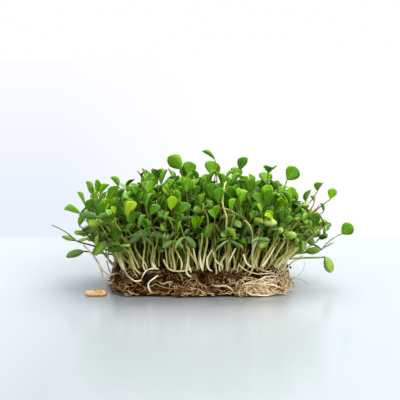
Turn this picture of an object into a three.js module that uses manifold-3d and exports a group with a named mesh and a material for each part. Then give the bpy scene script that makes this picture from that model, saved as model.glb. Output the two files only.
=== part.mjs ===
// A block of clover microgreens lifted whole out of its growing tray. Seedlings stand close together in a
// slab of brown growing medium, and the slab lies on the mat that their roots have knitted beneath it.
//
// Millimetres, +Z up. The origin is the middle of the root mat's flat underside. +X runs along the block's
// longer side and -Y is its front. Each node of seedlings is one clump: two or three plants whose stems
// stand on one ball of root, set in a plain hole in the growing medium.
import * as THREE from "three";
import Module from "manifold-3d";

const wasm = await Module();
wasm.setup();

// Driving dimensions
const ROOT_MAT = { length: 97, depth: 67, height: 5.2, sides: 36 };
const MEDIUM = { length: 93, depth: 64, foot: 5.55, top: 14.2, sides: 36 };
const SQUARENESS = 4.2; // exponent of the rounded rectangle that the slab is seen as from above
const CLUMPS = { columns: 9, rows: 5, pitchX: 10.1, pitchY: 12.5, wander: 1.2 };
const PLUG = { radius: 2.5, hole: 3.3, sides: 6, sunk: 1.2, spread: 1.15 };
const CANOPY = { rise: 52, endDrop: 11, sideDrop: 8, leftReach: 20, rightReach: 22, sideReach: 12 };
const STEM = { radius: 0.72, taper: 0.04, steps: 3, collar: 1.1, handle: 13 };
const STEM_STATIONS = [0, 0.2, 0.55, 1];
const STALK = { radius: 0.5 };
const COTYLEDON = { length: 9, width: 4.9, thickness: 0.7, arch: 0.16, peak: 1.15, blunt: 0.58 };
const LEAF = { length: 8.6, width: 8.2, thickness: 0.62, arch: 0.1, peak: 1.32, blunt: 0.64 };
const COTYLEDON_STATIONS = [0.38, 0.78];
const LEAF_STATIONS = [0.3, 0.62, 0.9];
const STRAND = { radius: 0.62, sides: 3, steps: 7, count: 16, proud: 1.9 };
const CLEAR = { apart: 2.7, within: 1.4, step: 2.0 };
const TRIES = 36;
const GOLDEN_ANGLE = Math.PI * (3 - Math.sqrt(5));
const TURN = 2 * Math.PI;
const DEGREE = Math.PI / 180;

const at = (x, y, z) => new THREE.Vector3(x, y, z);

// Seeded draws: each plant or strand has a stream of its own.
function stream(seed) {
  let state = (seed * 2654435761 + 12345) % 4294967296;
  const draw = (low, high) => {
    state = (Math.imul(state, 1664525) + 1013904223) >>> 0;
    return low + ((high - low) * state) / 4294967296;
  };
  draw(0, 1);
  draw(0, 1);
  return draw;
}

// Closed solids from points and triangles
function solidOf(points, triangles) {
  let volume = 0;
  for (const [a, b, c] of triangles) volume += points[a].dot(points[b].clone().cross(points[c]));
  const outwards = volume > 0 ? triangles : triangles.map(([a, b, c]) => [a, c, b]);
  return new wasm.Manifold(
    new wasm.Mesh({
      numProp: 3,
      vertProperties: new Float32Array(points.flatMap((p) => [p.x, p.y, p.z])),
      triVerts: new Uint32Array(outwards.flat()),
    }),
  );
}

function fuse(solids) {
  return solids.reduce((whole, next) => whole.add(next));
}

// Rings of points round a line, carried from point to point without twisting.
function ringsAlong(line, radiusAt, sides, start = at(1, 0, 0)) {
  let across = start;
  return line.map((centre, i) => {
    const before = line[Math.max(i - 1, 0)];
    const after = line[Math.min(i + 1, line.length - 1)];
    const along = after.clone().sub(before).normalize();
    across = across.clone().addScaledVector(along, -across.dot(along)).normalize();
    const beside = along.clone().cross(across);
    return Array.from({ length: sides }, (_, k) =>
      centre
        .clone()
        .addScaledVector(across, radiusAt(i) * Math.cos((TURN * k) / sides))
        .addScaledVector(beside, radiusAt(i) * Math.sin((TURN * k) / sides)),
    );
  });
}

// The two triangles between side k of one ring and the same side of the next.
function sidePair(first, second, k, sides) {
  const next = (k + 1) % sides;
  return [
    [first + k, first + next, second + next],
    [first + k, second + next, second + k],
  ];
}

// A closed bar along a line of points.
function bar(line, radiusAt, sides, start) {
  const triangles = [];
  for (let i = 0; i + 1 < line.length; i++)
    for (let k = 0; k < sides; k++) triangles.push(...sidePair(i * sides, (i + 1) * sides, k, sides));
  const last = (line.length - 1) * sides;
  for (let k = 1; k + 1 < sides; k++) triangles.push([0, k + 1, k], [last, last + k, last + k + 1]);
  return solidOf(ringsAlong(line, radiusAt, sides, start).flat(), triangles);
}

// The point of the rounded rectangle's edge in the direction of an angle.
function outline(a, b, angle) {
  const c = Math.abs(Math.cos(angle)) / a;
  const s = Math.abs(Math.sin(angle)) / b;
  const reach = Math.pow(Math.pow(c, SQUARENESS) + Math.pow(s, SQUARENESS), -1 / SQUARENESS);
  const waver = 1 + 0.013 * Math.sin(3 * angle + 1) + 0.011 * Math.sin(8 * angle + 2);
  return at(Math.cos(angle), Math.sin(angle), 0).multiplyScalar(reach * waver);
}

// A slab with that outline, stacked from rings of points. Each ring is [inset, height, rough or not].
function lump(length, depth, sides, rings, roughness, seed) {
  const draw = stream(seed);
  const points = [at(0, 0, rings[0][1]), at(0, 0, rings[rings.length - 1][1])];
  const triangles = [];
  for (const [inset, height, rough] of rings)
    for (let k = 0; k < sides; k++) {
      const edge = outline(length / 2, depth / 2, (TURN * k) / sides);
      const out = edge.length() - inset + rough * draw(-roughness, roughness);
      const lift = height + rough * draw(-roughness, roughness) * 0.8;
      points.push(edge.setLength(out).setZ(lift));
    }
  const top = 2 + (rings.length - 1) * sides;
  for (let k = 0; k < sides; k++) {
    const next = (k + 1) % sides;
    triangles.push([0, 2 + next, 2 + k], [1, top + k, top + next]);
    for (let r = 0; r + 1 < rings.length; r++)
      triangles.push(...sidePair(2 + r * sides, 2 + (r + 1) * sides, k, sides));
  }
  return solidOf(points, triangles);
}

// A direction from its compass heading (0 along +X, 90 along +Y) and its rise above the horizon, with the
// way that a blade lying along it faces once it is rolled about its own midrib.
function aim(heading, rise, roll) {
  const along = at(
    Math.cos(rise) * Math.cos(heading),
    Math.cos(rise) * Math.sin(heading),
    Math.sin(rise),
  );
  const face = at(
    -Math.sin(rise) * Math.cos(heading),
    -Math.sin(rise) * Math.sin(heading),
    Math.cos(rise),
  ).applyAxisAngle(along, roll);
  return { along, face };
}

// A blade is {base, along, face, length, width, fold, form}. Its two halves fold up towards `face` about
// the midrib, and the midrib bends away from `face` as it nears the tip. A point of it is found from how
// far along it lies, from 0 to 1, and how far to the side, from -1 to 1.
function bladePoint({ base, along, face, length, width, fold, form }, station, side, lift = 0) {
  const half = (width / 2) * Math.pow(Math.sin(Math.PI * Math.pow(station, form.peak)), form.blunt);
  const beside = along.clone().cross(face);
  const raised = Math.abs(side) * half * Math.sin(fold) - form.arch * length * station * station;
  return base
    .clone()
    .addScaledVector(along, length * station)
    .addScaledVector(beside, side * half * Math.cos(fold))
    .addScaledVector(face, raised + lift);
}

// Where the clumps stand
function mediumTop(x, y) {
  return MEDIUM.top + 0.5 * Math.sin(x * 0.21 + 1) * Math.cos(y * 0.17);
}

function clumpCentres() {
  const centres = [];
  for (let row = 0; row < CLUMPS.rows; row++) {
    const columns = CLUMPS.columns - (row % 2);
    for (let column = 0; column < columns; column++) {
      const draw = stream(1000 + centres.length);
      const x = (column - (columns - 1) / 2) * CLUMPS.pitchX;
      const y = (row - (CLUMPS.rows - 1) / 2) * CLUMPS.pitchY;
      const corner = Math.abs(x) > 40 && Math.abs(y) > 24 ? 0.93 : 1;
      const dx = draw(-CLUMPS.wander, CLUMPS.wander);
      const dy = draw(-CLUMPS.wander, CLUMPS.wander);
      centres.push(at(x * corner + dx, y * corner + dy, 0));
    }
  }
  return centres;
}

// Growing room. Plants are grown one after another: each stem, pair of seed leaves and true leaf is turned
// until it is clear of the root strands and of everything already grown.
const taken = [];

function take(points, clump, plant) {
  for (const point of points) taken.push({ point, clump, plant });
}

function isClear(points, clump, plant) {
  return taken.every((other) => {
    if (other.plant === plant) return true;
    const gap = other.clump === clump ? CLEAR.within : CLEAR.apart;
    return points.every((point) => point.distanceToSquared(other.point) > gap * gap);
  });
}

function settle(clump, plant, propose, samples) {
  for (let k = 0; k < TRIES; k++) {
    const part = propose(k);
    const points = samples(part);
    if (!isClear(points, clump, plant)) continue;
    take(points, clump, plant);
    return part;
  }
  return null;
}

// Points at even steps along each leg of a line.
function lineSamples(line) {
  const points = [line[0]];
  for (let i = 0; i + 1 < line.length; i++) {
    const count = Math.max(1, Math.ceil(line[i].distanceTo(line[i + 1]) / CLEAR.step));
    for (let k = 1; k <= count; k++) points.push(line[i].clone().lerp(line[i + 1], k / count));
  }
  return points;
}

function bladeSamples(blade) {
  const sides = blade.form === LEAF ? [-0.85, -0.3, 0.3, 0.85] : [-0.6, 0.6];
  return [0.15, 0.38, 0.62, 0.87].flatMap((s) => sides.map((t) => bladePoint(blade, s, t)));
}

// How a plant rooted at a point grows if nothing is in its way: where its true leaf starts, how much of
// its height lies below the seed leaves, and how its leaves point. The canopy leans out over the slab's
// edge all round. Angles are in degrees.
function habitOf(draw, foot) {
  const u = foot.x / (MEDIUM.length / 2);
  const v = foot.y / (MEDIUM.depth / 2);
  const reach = u < 0 ? CANOPY.leftReach : CANOPY.rightReach;
  const rise = CANOPY.rise - CANOPY.endDrop * u * u - CANOPY.sideDrop * v * v;
  return {
    x: foot.x + reach * u * Math.abs(u) * draw(0.6, 1.25) + draw(-4, 4),
    y: foot.y + CANOPY.sideReach * v * Math.abs(v) * draw(0.6, 1.25) + draw(-4, 4),
    z: MEDIUM.top + rise * draw(0.74, 1) - LEAF.length * 0.6,
    node: draw(0.5, 0.66),
    bow: 1.3,
    lean: at(draw(-1.5, 1.5), draw(-1.5, 1.5), 0),
    seedHeading: draw(0, 360),
    seedRise: draw(-12, 44),
    heading: draw(0, 360),
    rise: draw(25, 85),
    roll: draw(-60, 60),
    fold: draw(12, 46),
    size: draw(0.84, 1.1),
    seedRoll: draw(-40, 40),
    handle: STEM.handle,
    seedLeaves: 2,
    leafy: true,
    turns: GOLDEN_ANGLE,
  };
}

// The stem rises straight from its root ball and then bows over to the seed leaves.
function stemLine(foot, node, { lean, handle }) {
  const rise = node.z - foot.z;
  const first = foot.clone().add(at(0, 0, Math.max(rise * 0.38, handle)));
  const second = foot.clone().lerp(node, 0.62).setZ(foot.z + Math.max(rise * 0.7, 6)).sub(lean);
  const curve = new THREE.CubicBezierCurve3(foot, first, second, node);
  return STEM_STATIONS.map((t) => curve.getPoint(t));
}

// One plant, grown from foot to tip. `wish` overrides its habit, as on the outermost plants.
function growPlant(clump, plant, centre, turn, wish = {}) {
  const foot = at(
    centre.x + PLUG.spread * Math.cos(turn),
    centre.y + PLUG.spread * Math.sin(turn),
    mediumTop(centre.x, centre.y) - PLUG.sunk - 1.5,
  );
  const habit = { ...habitOf(stream(plant), foot), ...wish };
  const crown = at(habit.x, habit.y, habit.z);
  const across = habit.node ** habit.bow;
  const spiral = (k, pitch) =>
    at(Math.cos(k * GOLDEN_ANGLE), Math.sin(k * GOLDEN_ANGLE), 0).multiplyScalar(pitch * Math.sqrt(k));

  const stem = settle(
    clump,
    plant,
    (k) => {
      const x = foot.x + (crown.x - foot.x) * across;
      const y = foot.y + (crown.y - foot.y) * across;
      const node = at(x, y, foot.z + (crown.z - foot.z) * habit.node).add(spiral(k, 0.9));
      return stemLine(foot, node, habit);
    },
    lineSamples,
  );
  if (!stem) return null;
  const node = stem[STEM.steps];

  const seedLeaves = settle(
    clump,
    plant,
    (k) => {
      const round = Math.floor(k / 9);
      const heading = (habit.seedHeading + 40 * k + 13 * round) * DEGREE;
      const rise = (habit.seedRise + 14 * round) * DEGREE;
      const size = habit.size * (1 - 0.1 * round);
      const count = round < 2 ? habit.seedLeaves : 1;
      const pair = [0, 1].slice(0, count).map((side) => {
        const roll = habit.seedRoll * DEGREE * (1 - 2 * side);
        const { along, face } = aim(heading + side * Math.PI, rise, roll);
        const length = COTYLEDON.length * size;
        const width = COTYLEDON.width * size;
        return { base: node, along, face, length, width, fold: 0, form: COTYLEDON };
      });
      return { heading, pair };
    },
    ({ pair }) => pair.flatMap(bladeSamples),
  );

  const shoot = settle(
    clump,
    plant,
    (k) => {
      const base = crown.clone().add(spiral(k, 1.2)).add(at(0, 0, (k % 3) * -1.5));
      const heading = habit.heading * DEGREE + k * habit.turns;
      const { along, face } = aim(heading, habit.rise * DEGREE, habit.roll * DEGREE);
      const length = LEAF.length * habit.size;
      const width = LEAF.width * habit.size;
      const blade = { base, along, face, length, width, fold: habit.fold * DEGREE, form: LEAF };
      const knee = node.clone().lerp(base, 0.55).addScaledVector(habit.lean, -0.6).add(at(0, 0, 0.8));
      return { blade, knee };
    },
    ({ blade, knee }) => {
      const stalk = lineSamples([node, knee, blade.base]);
      return habit.leafy ? [...stalk, ...bladeSamples(blade)] : stalk;
    },
  );
  if (!seedLeaves && !shoot) return null;
  return { stem, seedLeaves, shoot: habit.node < 1 ? shoot : null, leafy: habit.leafy };
}

// One plant as a closed solid. Its skin is gathered as points and triangles, so that stem, seed leaves,
// leaf stalk and true leaf are one surface. The four-sided stem ends in a short collar: two facing sides
// of that carry the seed leaves, and the leaf stalk goes on from its top.
function plantSolid({ stem, seedLeaves, shoot, leafy }) {
  const node = stem[STEM.steps];
  const heading = seedLeaves ? seedLeaves.heading : 0;
  const pair = seedLeaves ? seedLeaves.pair : [];
  const line = [...stem, node.clone().add(at(0, 0, STEM.collar)), ...(shoot ? [shoot.knee] : [])];
  if (shoot && !leafy) line.push(shoot.blade.base);
  const radiusAt = (i) => (i <= STEM.steps ? STEM.radius - STEM.taper * i : STALK.radius);
  const start = at(Math.cos(heading - TURN / 8), Math.sin(heading - TURN / 8), 0);
  const points = ringsAlong(line, radiusAt, 4, start).flat();
  const skin = { points, triangles: [[0, 2, 1], [0, 3, 2]] };
  for (let i = 0; i + 1 < line.length; i++)
    for (let k = 0; k < 4; k++) {
      const blade = i === STEM.steps && k % 2 === 0 ? pair[k / 2] : null;
      const [right, left] = [4 * i + k, 4 * i + ((k + 1) % 4)];
      if (blade) addBlade(skin, blade, [right + 4, left + 4, right, left]);
      else skin.triangles.push(...sidePair(4 * i, 4 * i + 4, k, 4));
    }
  const last = 4 * (line.length - 1);
  if (shoot && leafy) addTrueLeaf(skin, shoot.blade, last);
  else skin.triangles.push([last, last + 1, last + 2], [last, last + 2, last + 3]);
  return solidOf(skin.points, skin.triangles);
}

// A blade grown out of four points of the skin: the two heels of its upper face and the two below them.
function addBlade(skin, blade, [topRight, topLeft, underRight, underLeft]) {
  const stations = blade.form === LEAF ? LEAF_STATIONS : COTYLEDON_STATIONS;
  const thick = blade.form.thickness / Math.cos(blade.fold);
  const loop = (lift, rightHeel, leftHeel) => {
    const point = (s, side) => skin.points.push(bladePoint(blade, s, side, lift)) - 1;
    const right = stations.map((s) => point(s, 1));
    const tip = point(0.9999, 0);
    const left = stations.map((s) => point(s, -1)).reverse();
    return [rightHeel, ...right, tip, ...left, leftHeel];
  };
  const top = loop(thick / 2, topRight, topLeft);
  const under = loop(-thick / 2, underRight, underLeft);
  const flat = blade.fold > 0 ? foldedFace(stations.length) : flatFace(stations.length);
  for (const [a, b, c] of flat) skin.triangles.push([top[a], top[b], top[c]], [under[a], under[c], under[b]]);
  for (let k = 0; k + 1 < top.length; k++)
    skin.triangles.push([under[k], under[k + 1], top[k + 1]], [under[k], top[k + 1], top[k]]);
}

// A blade's face as triangles between the places of its edge loop, which runs from the right heel round
// the tip to the left heel. A folded face is two fans that meet in the midrib.
function foldedFace(stations) {
  const tip = stations + 1;
  const leftHeel = 2 * tip;
  const fans = [[0, tip, leftHeel]];
  for (let k = 1; k < tip; k++) fans.push([0, k, k + 1], [leftHeel, leftHeel - k - 1, leftHeel - k]);
  return fans;
}

function flatFace(stations) {
  const tip = stations + 1;
  const leftHeel = 2 * tip;
  const bands = [[stations, tip, leftHeel - stations]];
  for (let k = 0; k < stations; k++)
    bands.push([k, k + 1, leftHeel - k - 1], [k, leftHeel - k - 1, leftHeel - k]);
  return bands;
}

// The true leaf closes the stalk, whose last ring is set square to the blade.
function addTrueLeaf(skin, blade, from) {
  const beside = blade.along.clone().cross(blade.face);
  const corners = [
    [-1, 1],
    [1, 1],
    [1, -1],
    [-1, -1],
  ].map(([side, lift]) =>
    blade.base
      .clone()
      .addScaledVector(beside, side * STALK.radius * 0.7)
      .addScaledVector(blade.face, lift * STALK.radius * 0.7),
  );
  const twist = (m) =>
    corners.reduce((sum, corner, k) => sum + corner.distanceTo(skin.points[from + ((k + m) % 4)]), 0);
  const m = [0, 1, 2, 3].reduce((best, k) => (twist(k) < twist(best) ? k : best), 0);
  const ring = skin.points.push(...[0, 1, 2, 3].map((k) => corners[(k - m + 4) % 4])) - 4;
  for (let k = 0; k < 4; k++) skin.triangles.push(...sidePair(from, ring, k, 4));
  const corner = (k) => ring + ((k + m) % 4);
  addBlade(skin, blade, [corner(1), corner(0), corner(2), corner(3)]);
}

// The plants that give the block its outline: where the true leaf starts, how it points, faces and folds,
// and how large it is beside the others.
const SKYLINE = [
  { x: 8.5, y: 2, z: 69, heading: 175, rise: 40, roll: 15, fold: 30, size: 1.0 },
  { x: -9.8, y: 2, z: 63.6, heading: 180, rise: 48, roll: 60, fold: 12, size: 1.2 },
  { x: -32, y: 4, z: 59, heading: -90, rise: 28, roll: 0, fold: 52, size: 0.9 },
  { x: -22.9, y: 0, z: 58.5, heading: -90, rise: 45, roll: 0, fold: 36, size: 1.05 },
  { x: 22.5, y: 4, z: 63, heading: 30, rise: 64, roll: 20, fold: 30, size: 0.95 },
  { x: 38, y: 2, z: 61.5, heading: -80, rise: 30, roll: 0, fold: 34, size: 1.1 },
  { x: 48, y: 0, z: 58, heading: 20, rise: 50, roll: 75, fold: 14, size: 1.05 },
  { x: 65, y: 2, z: 51.5, heading: -70, rise: 42, roll: 10, fold: 42, size: 1.0 },
  { x: 72, y: 0, z: 47.5, heading: 40, rise: 62, roll: 30, fold: 34, size: 0.75 },
  { x: -58.5, y: 2, z: 49, heading: 150, rise: 62, roll: 60, fold: 12, size: 1.05 },
  { x: -65, y: -6, z: 40, heading: 170, rise: 20, roll: 40, fold: 30, size: 1.1 },
  { x: -63.5, y: 4, z: 43.5, heading: 150, rise: 58, roll: 50, fold: 20, size: 1.0 },
  { x: -51.5, y: 6, z: 50.5, heading: 110, rise: 70, roll: 50, fold: 20, size: 1.0 },
  { x: -42.5, y: -37, z: 42, heading: -120, rise: 78, roll: 165, fold: 8, size: 1.15 },
  { x: 6, y: -24, z: 51, heading: 60, rise: 72, roll: 20, fold: 16, size: 1.0 },
  { x: 16.5, y: -27, z: 49.5, heading: -100, rise: 80, roll: 175, fold: 14, size: 1.0 },
];

// Plants that hang out low over the slab's ends. Those whose node is 1 have only seed leaves.
const STRAYS = [
  { x: 78, y: -4, z: 28.7, node: 0.52, bow: 0.49, heading: 0, rise: 42, roll: 75, fold: 10, size: 0.9 },
  { x: -81, y: -4, z: 33.7, node: 0.62, bow: 0.9, seedHeading: 160, seedRise: 20, leafy: false, size: 1 },
  { x: 68.5, y: -10, z: 17, node: 1, bow: 1, seedHeading: 0, seedRise: -64, seedRoll: 78, seedLeaves: 1 },
  { x: 65, y: -6, z: 38, node: 1, bow: 1, seedHeading: 5, seedRise: -22, seedRoll: 30, size: 1.05 },
  { x: 57, y: -15, z: 21, node: 1, bow: 1, seedHeading: -20, seedRise: 12, seedRoll: 45, size: 0.95 },
  { x: -63, y: -9, z: 20, node: 1, bow: 1, seedHeading: 175, seedRise: -8, seedRoll: 55, seedLeaves: 1 },
];
const LANDMARKS = [...SKYLINE, ...STRAYS.map((stray) => ({ size: 1.1, ...stray, handle: 8.5 }))];

const centres = clumpCentres();

// The clump that a wished-for plant grows from: the nearest that still has room for it.
function clumpFor({ x, y }, plants) {
  const root = at(x * 0.8, y * 0.8, 0);
  const free = centres.map((_, k) => k).filter((k) => plants[k].length < 2);
  const away = (k) => centres[k].distanceTo(root);
  return free.reduce((best, k) => (away(k) < away(best) ? k : best));
}

function growClumps() {
  const plants = centres.map(() => []);
  const grow = (clump, plant, wish) => {
    const turn = clump + (plants[clump].length * TURN) / 3;
    const grown = growPlant(clump, plant, centres[clump], turn, wish);
    if (grown) plants[clump].push(grown);
  };
  LANDMARKS.forEach((wish, k) => grow(clumpFor(wish, plants), 5000 + k, { ...wish, turns: 0 }));
  centres.forEach((_, clump) => {
    const wanted = clump % 3 === 0 ? 3 : 2;
    for (let k = plants[clump].length; k < wanted; k++) grow(clump, clump * 10 + k);
  });
  return plants;
}

function rootBall({ x, y }) {
  const line = [at(x, y, MEDIUM.foot + 0.5), at(x, y, mediumTop(x, y) - PLUG.sunk)];
  return bar(line, (i) => PLUG.radius * (0.88 + 0.12 * i), PLUG.sides);
}

function growingMedium() {
  const { foot, top } = MEDIUM;
  const rings = [
    [3, foot, 0],
    [0.4, foot, 0],
    [0, foot + 3.4, 1],
    [0.3, top - 3.2, 1],
    [1.6, top - 0.5, 1],
    [5, top, 1],
  ];
  const slab = lump(MEDIUM.length, MEDIUM.depth, MEDIUM.sides, rings, 0.55, 71);
  const holes = centres.map(({ x, y }) =>
    bar([at(x, y, foot - 3), at(x, y, top + 4)], () => PLUG.hole, PLUG.sides),
  );
  return holes.reduce((left, hole) => left.subtract(hole), slab);
}

// Roots that leave the mat's rim, climb the side of the slab in a low arch and turn back into the rim.
function strandLine(k) {
  const draw = stream(300 + k);
  const start = (TURN * (k + draw(0, 0.6))) / STRAND.count;
  const sweep = draw(0.18, 0.42) * (k % 2 ? 1 : -1);
  const climb = draw(2.5, 8);
  return Array.from({ length: STRAND.steps + 1 }, (_, i) => {
    const t = i / STRAND.steps;
    const end = Math.abs(2 * t - 1);
    const edge = outline(MEDIUM.length / 2, MEDIUM.depth / 2, start + sweep * t);
    const out = edge.length() + STRAND.proud - 2.6 * end ** 8;
    return edge.setLength(out).setZ(2.4 + climb * (1 - end ** 2));
  });
}

// A flat tongue of matted root that has been pulled out past the block's left end.
function rootTongue() {
  const line = [at(-43, -18, 0), at(-52, -19, 0), at(-59, -20, 0), at(-63, -20.5, 0)];
  const width = [4.2, 4.2, 3.2, 1];
  return bar(line, (i) => width[i], 8, at(0, 1, 0)).scale([1, 1, 0.38]).translate([0, 0, 1.7]);
}

function rootMat(strands) {
  const { length, depth, sides, height } = ROOT_MAT;
  const rings = [
    [1.6, 0, 0],
    [0.2, 1.2, 1],
    [0, 3, 1],
    [1.4, height, 0],
  ];
  const mat = lump(length, depth, sides, rings, 0.35, 72);
  const bars = strands.map((line) => bar(line, () => STRAND.radius, STRAND.sides, at(0, 0, 1)));
  return fuse([mat, rootTongue(), ...bars]);
}

function meshOf(name, solid, material) {
  const { numVert, numProp, vertProperties, triVerts } = solid.getMesh();
  const positions = new Float32Array(numVert * 3);
  for (let i = 0; i < numVert; i++)
    positions.set(vertProperties.subarray(i * numProp, i * numProp + 3), i * 3);
  const geometry = new THREE.BufferGeometry()
    .setAttribute("position", new THREE.BufferAttribute(positions, 3))
    .setIndex(new THREE.BufferAttribute(triVerts, 1));
  geometry.computeVertexNormals();
  const mesh = new THREE.Mesh(geometry, material);
  mesh.name = name;
  return mesh;
}

const soil = new THREE.MeshStandardMaterial({ color: "#4a3826", roughness: 0.95, metalness: 0 });
const root = new THREE.MeshStandardMaterial({ color: "#cdb690", roughness: 0.8, metalness: 0 });
const leaf = new THREE.MeshStandardMaterial({ color: "#5f8f2a", roughness: 0.55, metalness: 0 });

const strands = Array.from({ length: STRAND.count }, (_, k) => strandLine(k));
for (const line of strands) take(lineSamples(line), -1, -1);

const block = new THREE.Group();
block.add(meshOf("root_mat", rootMat(strands), root));
block.add(meshOf("growing_medium", growingMedium(), soil));
growClumps().forEach((plants, k) => {
  const solid = fuse([rootBall(centres[k]), ...plants.map(plantSolid)]);
  block.add(meshOf(`seedlings_${String(k + 1).padStart(2, "0")}`, solid, leaf));
});

export default block;
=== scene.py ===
import math

import bpy
import mathutils
import numpy as np
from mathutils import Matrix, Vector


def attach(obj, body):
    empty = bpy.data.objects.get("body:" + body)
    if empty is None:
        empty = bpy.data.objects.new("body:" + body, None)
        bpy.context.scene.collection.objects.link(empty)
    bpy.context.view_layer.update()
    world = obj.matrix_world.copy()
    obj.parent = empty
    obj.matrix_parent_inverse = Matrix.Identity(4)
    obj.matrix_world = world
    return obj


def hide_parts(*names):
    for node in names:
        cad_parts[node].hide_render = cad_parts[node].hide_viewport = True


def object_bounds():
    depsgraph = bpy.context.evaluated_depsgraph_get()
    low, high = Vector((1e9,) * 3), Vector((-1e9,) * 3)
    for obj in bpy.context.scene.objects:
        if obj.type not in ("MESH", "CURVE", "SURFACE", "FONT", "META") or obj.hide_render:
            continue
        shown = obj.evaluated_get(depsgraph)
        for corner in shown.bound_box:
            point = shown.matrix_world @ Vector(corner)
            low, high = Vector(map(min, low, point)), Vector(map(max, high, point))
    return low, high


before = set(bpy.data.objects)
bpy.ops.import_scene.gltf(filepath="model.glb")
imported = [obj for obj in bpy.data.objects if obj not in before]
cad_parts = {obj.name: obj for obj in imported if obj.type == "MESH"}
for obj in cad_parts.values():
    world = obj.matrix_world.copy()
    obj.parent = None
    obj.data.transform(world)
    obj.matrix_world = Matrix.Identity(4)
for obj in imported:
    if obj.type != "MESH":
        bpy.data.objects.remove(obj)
CAD_BOX = [list(corner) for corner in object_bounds()]

# A block of clover microgreens: several hundred seedlings in a slab of growing medium on their matted
# roots. Lengths are in millimetres until a mesh is made, which is in metres.
MM = 0.001
TURN = 2 * math.pi
GOLDEN_ANGLE = math.pi * (3 - math.sqrt(5))

# The same driving dimensions as the construction
MEDIUM = {"length": 93, "depth": 64, "foot": 5.55, "top": 14.2}
ROOT_MAT = {"length": 97, "depth": 67, "height": 5.2}
SQUARENESS = 4.2
CLUMPS = {"columns": 9, "rows": 5, "pitch_x": 10.1, "pitch_y": 12.5, "wander": 1.2}
PLUG = {"sunk": 1.2, "spread": 1.15}
CANOPY = {"rise": 52, "end_drop": 11, "side_drop": 8, "left": 20, "right": 22, "side": 12}
COTYLEDON = {"length": 9, "width": 4.9, "arch": 0.16, "peak": 1.15, "blunt": 0.58}
LEAF = {"length": 8.6, "width": 8.2, "arch": 0.1, "peak": 1.32, "blunt": 0.64}
HANDLE = {"usual": 13, "stray": 8.5}
STEM_STATIONS = [0, 0.2, 0.55, 1]
STRAND = {"steps": 7, "count": 16, "proud": 1.9}
CLEAR = {"apart": 2.7, "within": 1.4, "step": 2.0}
TRIES = 36
KNEE = 0.55

# Fine sizes, seen only here
THREAD_SQUARENESS = 5.5
STEM_RADIUS = (0.54, 0.44)
STALK_RADIUS = (0.36, 0.28)
LEAF_SHAPE = {"peak": 1.38, "blunt": 0.58, "width": 1.04}
SEED_LEAF_SHAPE = {"peak": 1.12, "blunt": 0.52, "width": 1.08}
TALL = {"seed": 7000, "columns": 29, "rows": 19, "pitch_x": 3.15, "pitch_y": 3.35, "gap": 0.9}
LOW = {"seed": 8000, "columns": 27, "rows": 17, "pitch_x": 3.4, "pitch_y": 3.7, "gap": 0.8}
ENDS = {"seed": 9000, "columns": 27, "rows": 19, "pitch_x": 3.4, "pitch_y": 3.3, "gap": 0.7}
ENDS["least_x"] = 0.36 * MEDIUM["length"]
INFILL_TRIES = 12
SCATTER = 1.7
# The infill's feet gather in tufts along each row
TUFT = {"pitch": 9.5, "gather": 1.3, "row": 0.13}
SIDE_ROOTED = {"within": 2.2, "inset": 1.4, "below": (1.5, 5)}
# Painted shade: the deeper inside the canopy, the darker a leaf is painted and the greener a stem's foot
PAINTED_SHADE = {"below": 24, "inside": 12, "leaf": 0.8, "stem": 0.5, "top": 8, "flare": 0.22}
LOOK_SEEDS = 90000
SEED_LEAF_KIND = 1
LEAF_KIND = 2
# A stem's colour goes by its height: 0 at a rim plant's foot, and these at its node and blade. A stem
# inside the canopy starts and ends higher, greener and darker, which is painted shade
NODE_HEIGHT = 0.6
BLADE_HEIGHT = 0.8
STEM_STEPS = 10
STALK_STEPS = 6
FINISH = {"thick": (0.85, 1.12), "sway": 1.6, "ripple": 0.6, "seed_bend": (0.6, 1.9), "bend": (0.5, 1.5)}
# The infill's habits. A pair is the range of a draw. A lean, roll or heading is drawn to both sides.
LOOSE = {"lean": 4.2, "seed_roll": 60, "seed_rise": (-35, 50)}
RIM = {
    "from": 0.6, "hook": (-2, 5), "sideways": 4, "dip": 2, "heading": 80, "rise": (35, 88), "roll": 35,
    "seed_heading": 100, "seed_rise": (-45, 25), "seed_roll": (15, 85),
}
LOW_HABIT = {"height": (17, 33), "spread": (0.55, 1.05), "side_spread": (0.65, 1.05), "size": (0.74, 1.14)}
END_HABIT = {"from": 0.37, "height": (11, 30), "spread": (0.5, 1.1)}
TALL_HABIT = {
    "spread": (0.6, 1.2), "aside": 4, "height": (0.68, 1.03), "node": (16, 22), "highest_node": 0.85,
    "size": (0.5, 1.04), "fold": (12, 58), "bare": 0.08,
}


# Seeded draws, one stream for each plant or root
def stream(seed):
    state = (seed * 2654435761 + 12345) % 4294967296

    def draw(low, high):
        nonlocal state
        state = (state * 1664525 + 1013904223) % 4294967296
        return low + (high - low) * state / 4294967296

    draw(0, 1)
    draw(0, 1)
    return draw


def at(x, y, z):
    return np.array([x, y, z], float)


def unit(v):
    return v / np.linalg.norm(v)


def outline(a, b, angle, squareness=SQUARENESS):
    """The slab's rounded-rectangle edge in the direction of an angle."""
    c = abs(math.cos(angle)) / a
    s = abs(math.sin(angle)) / b
    reach = (c**squareness + s**squareness) ** (-1 / squareness)
    waver = 1 + 0.013 * math.sin(3 * angle + 1) + 0.011 * math.sin(8 * angle + 2)
    return at(math.cos(angle), math.sin(angle), 0) * reach * waver


def edge_reach(x, y):
    """How far from the middle the slab's edge is, in the direction of a place."""
    return np.linalg.norm(outline(MEDIUM["length"] / 2, MEDIUM["depth"] / 2, math.atan2(y, x)))


def canopy_rise(u, v):
    """How high the canopy stands at shares of the slab's half length and half depth."""
    return CANOPY["rise"] - CANOPY["end_drop"] * u * u - CANOPY["side_drop"] * v * v


def shares_of(x, y):
    return x / (MEDIUM["length"] / 2), y / (MEDIUM["depth"] / 2)


def medium_top(x, y):
    return MEDIUM["top"] + 0.5 * math.sin(x * 0.21 + 1) * math.cos(y * 0.17)


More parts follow.
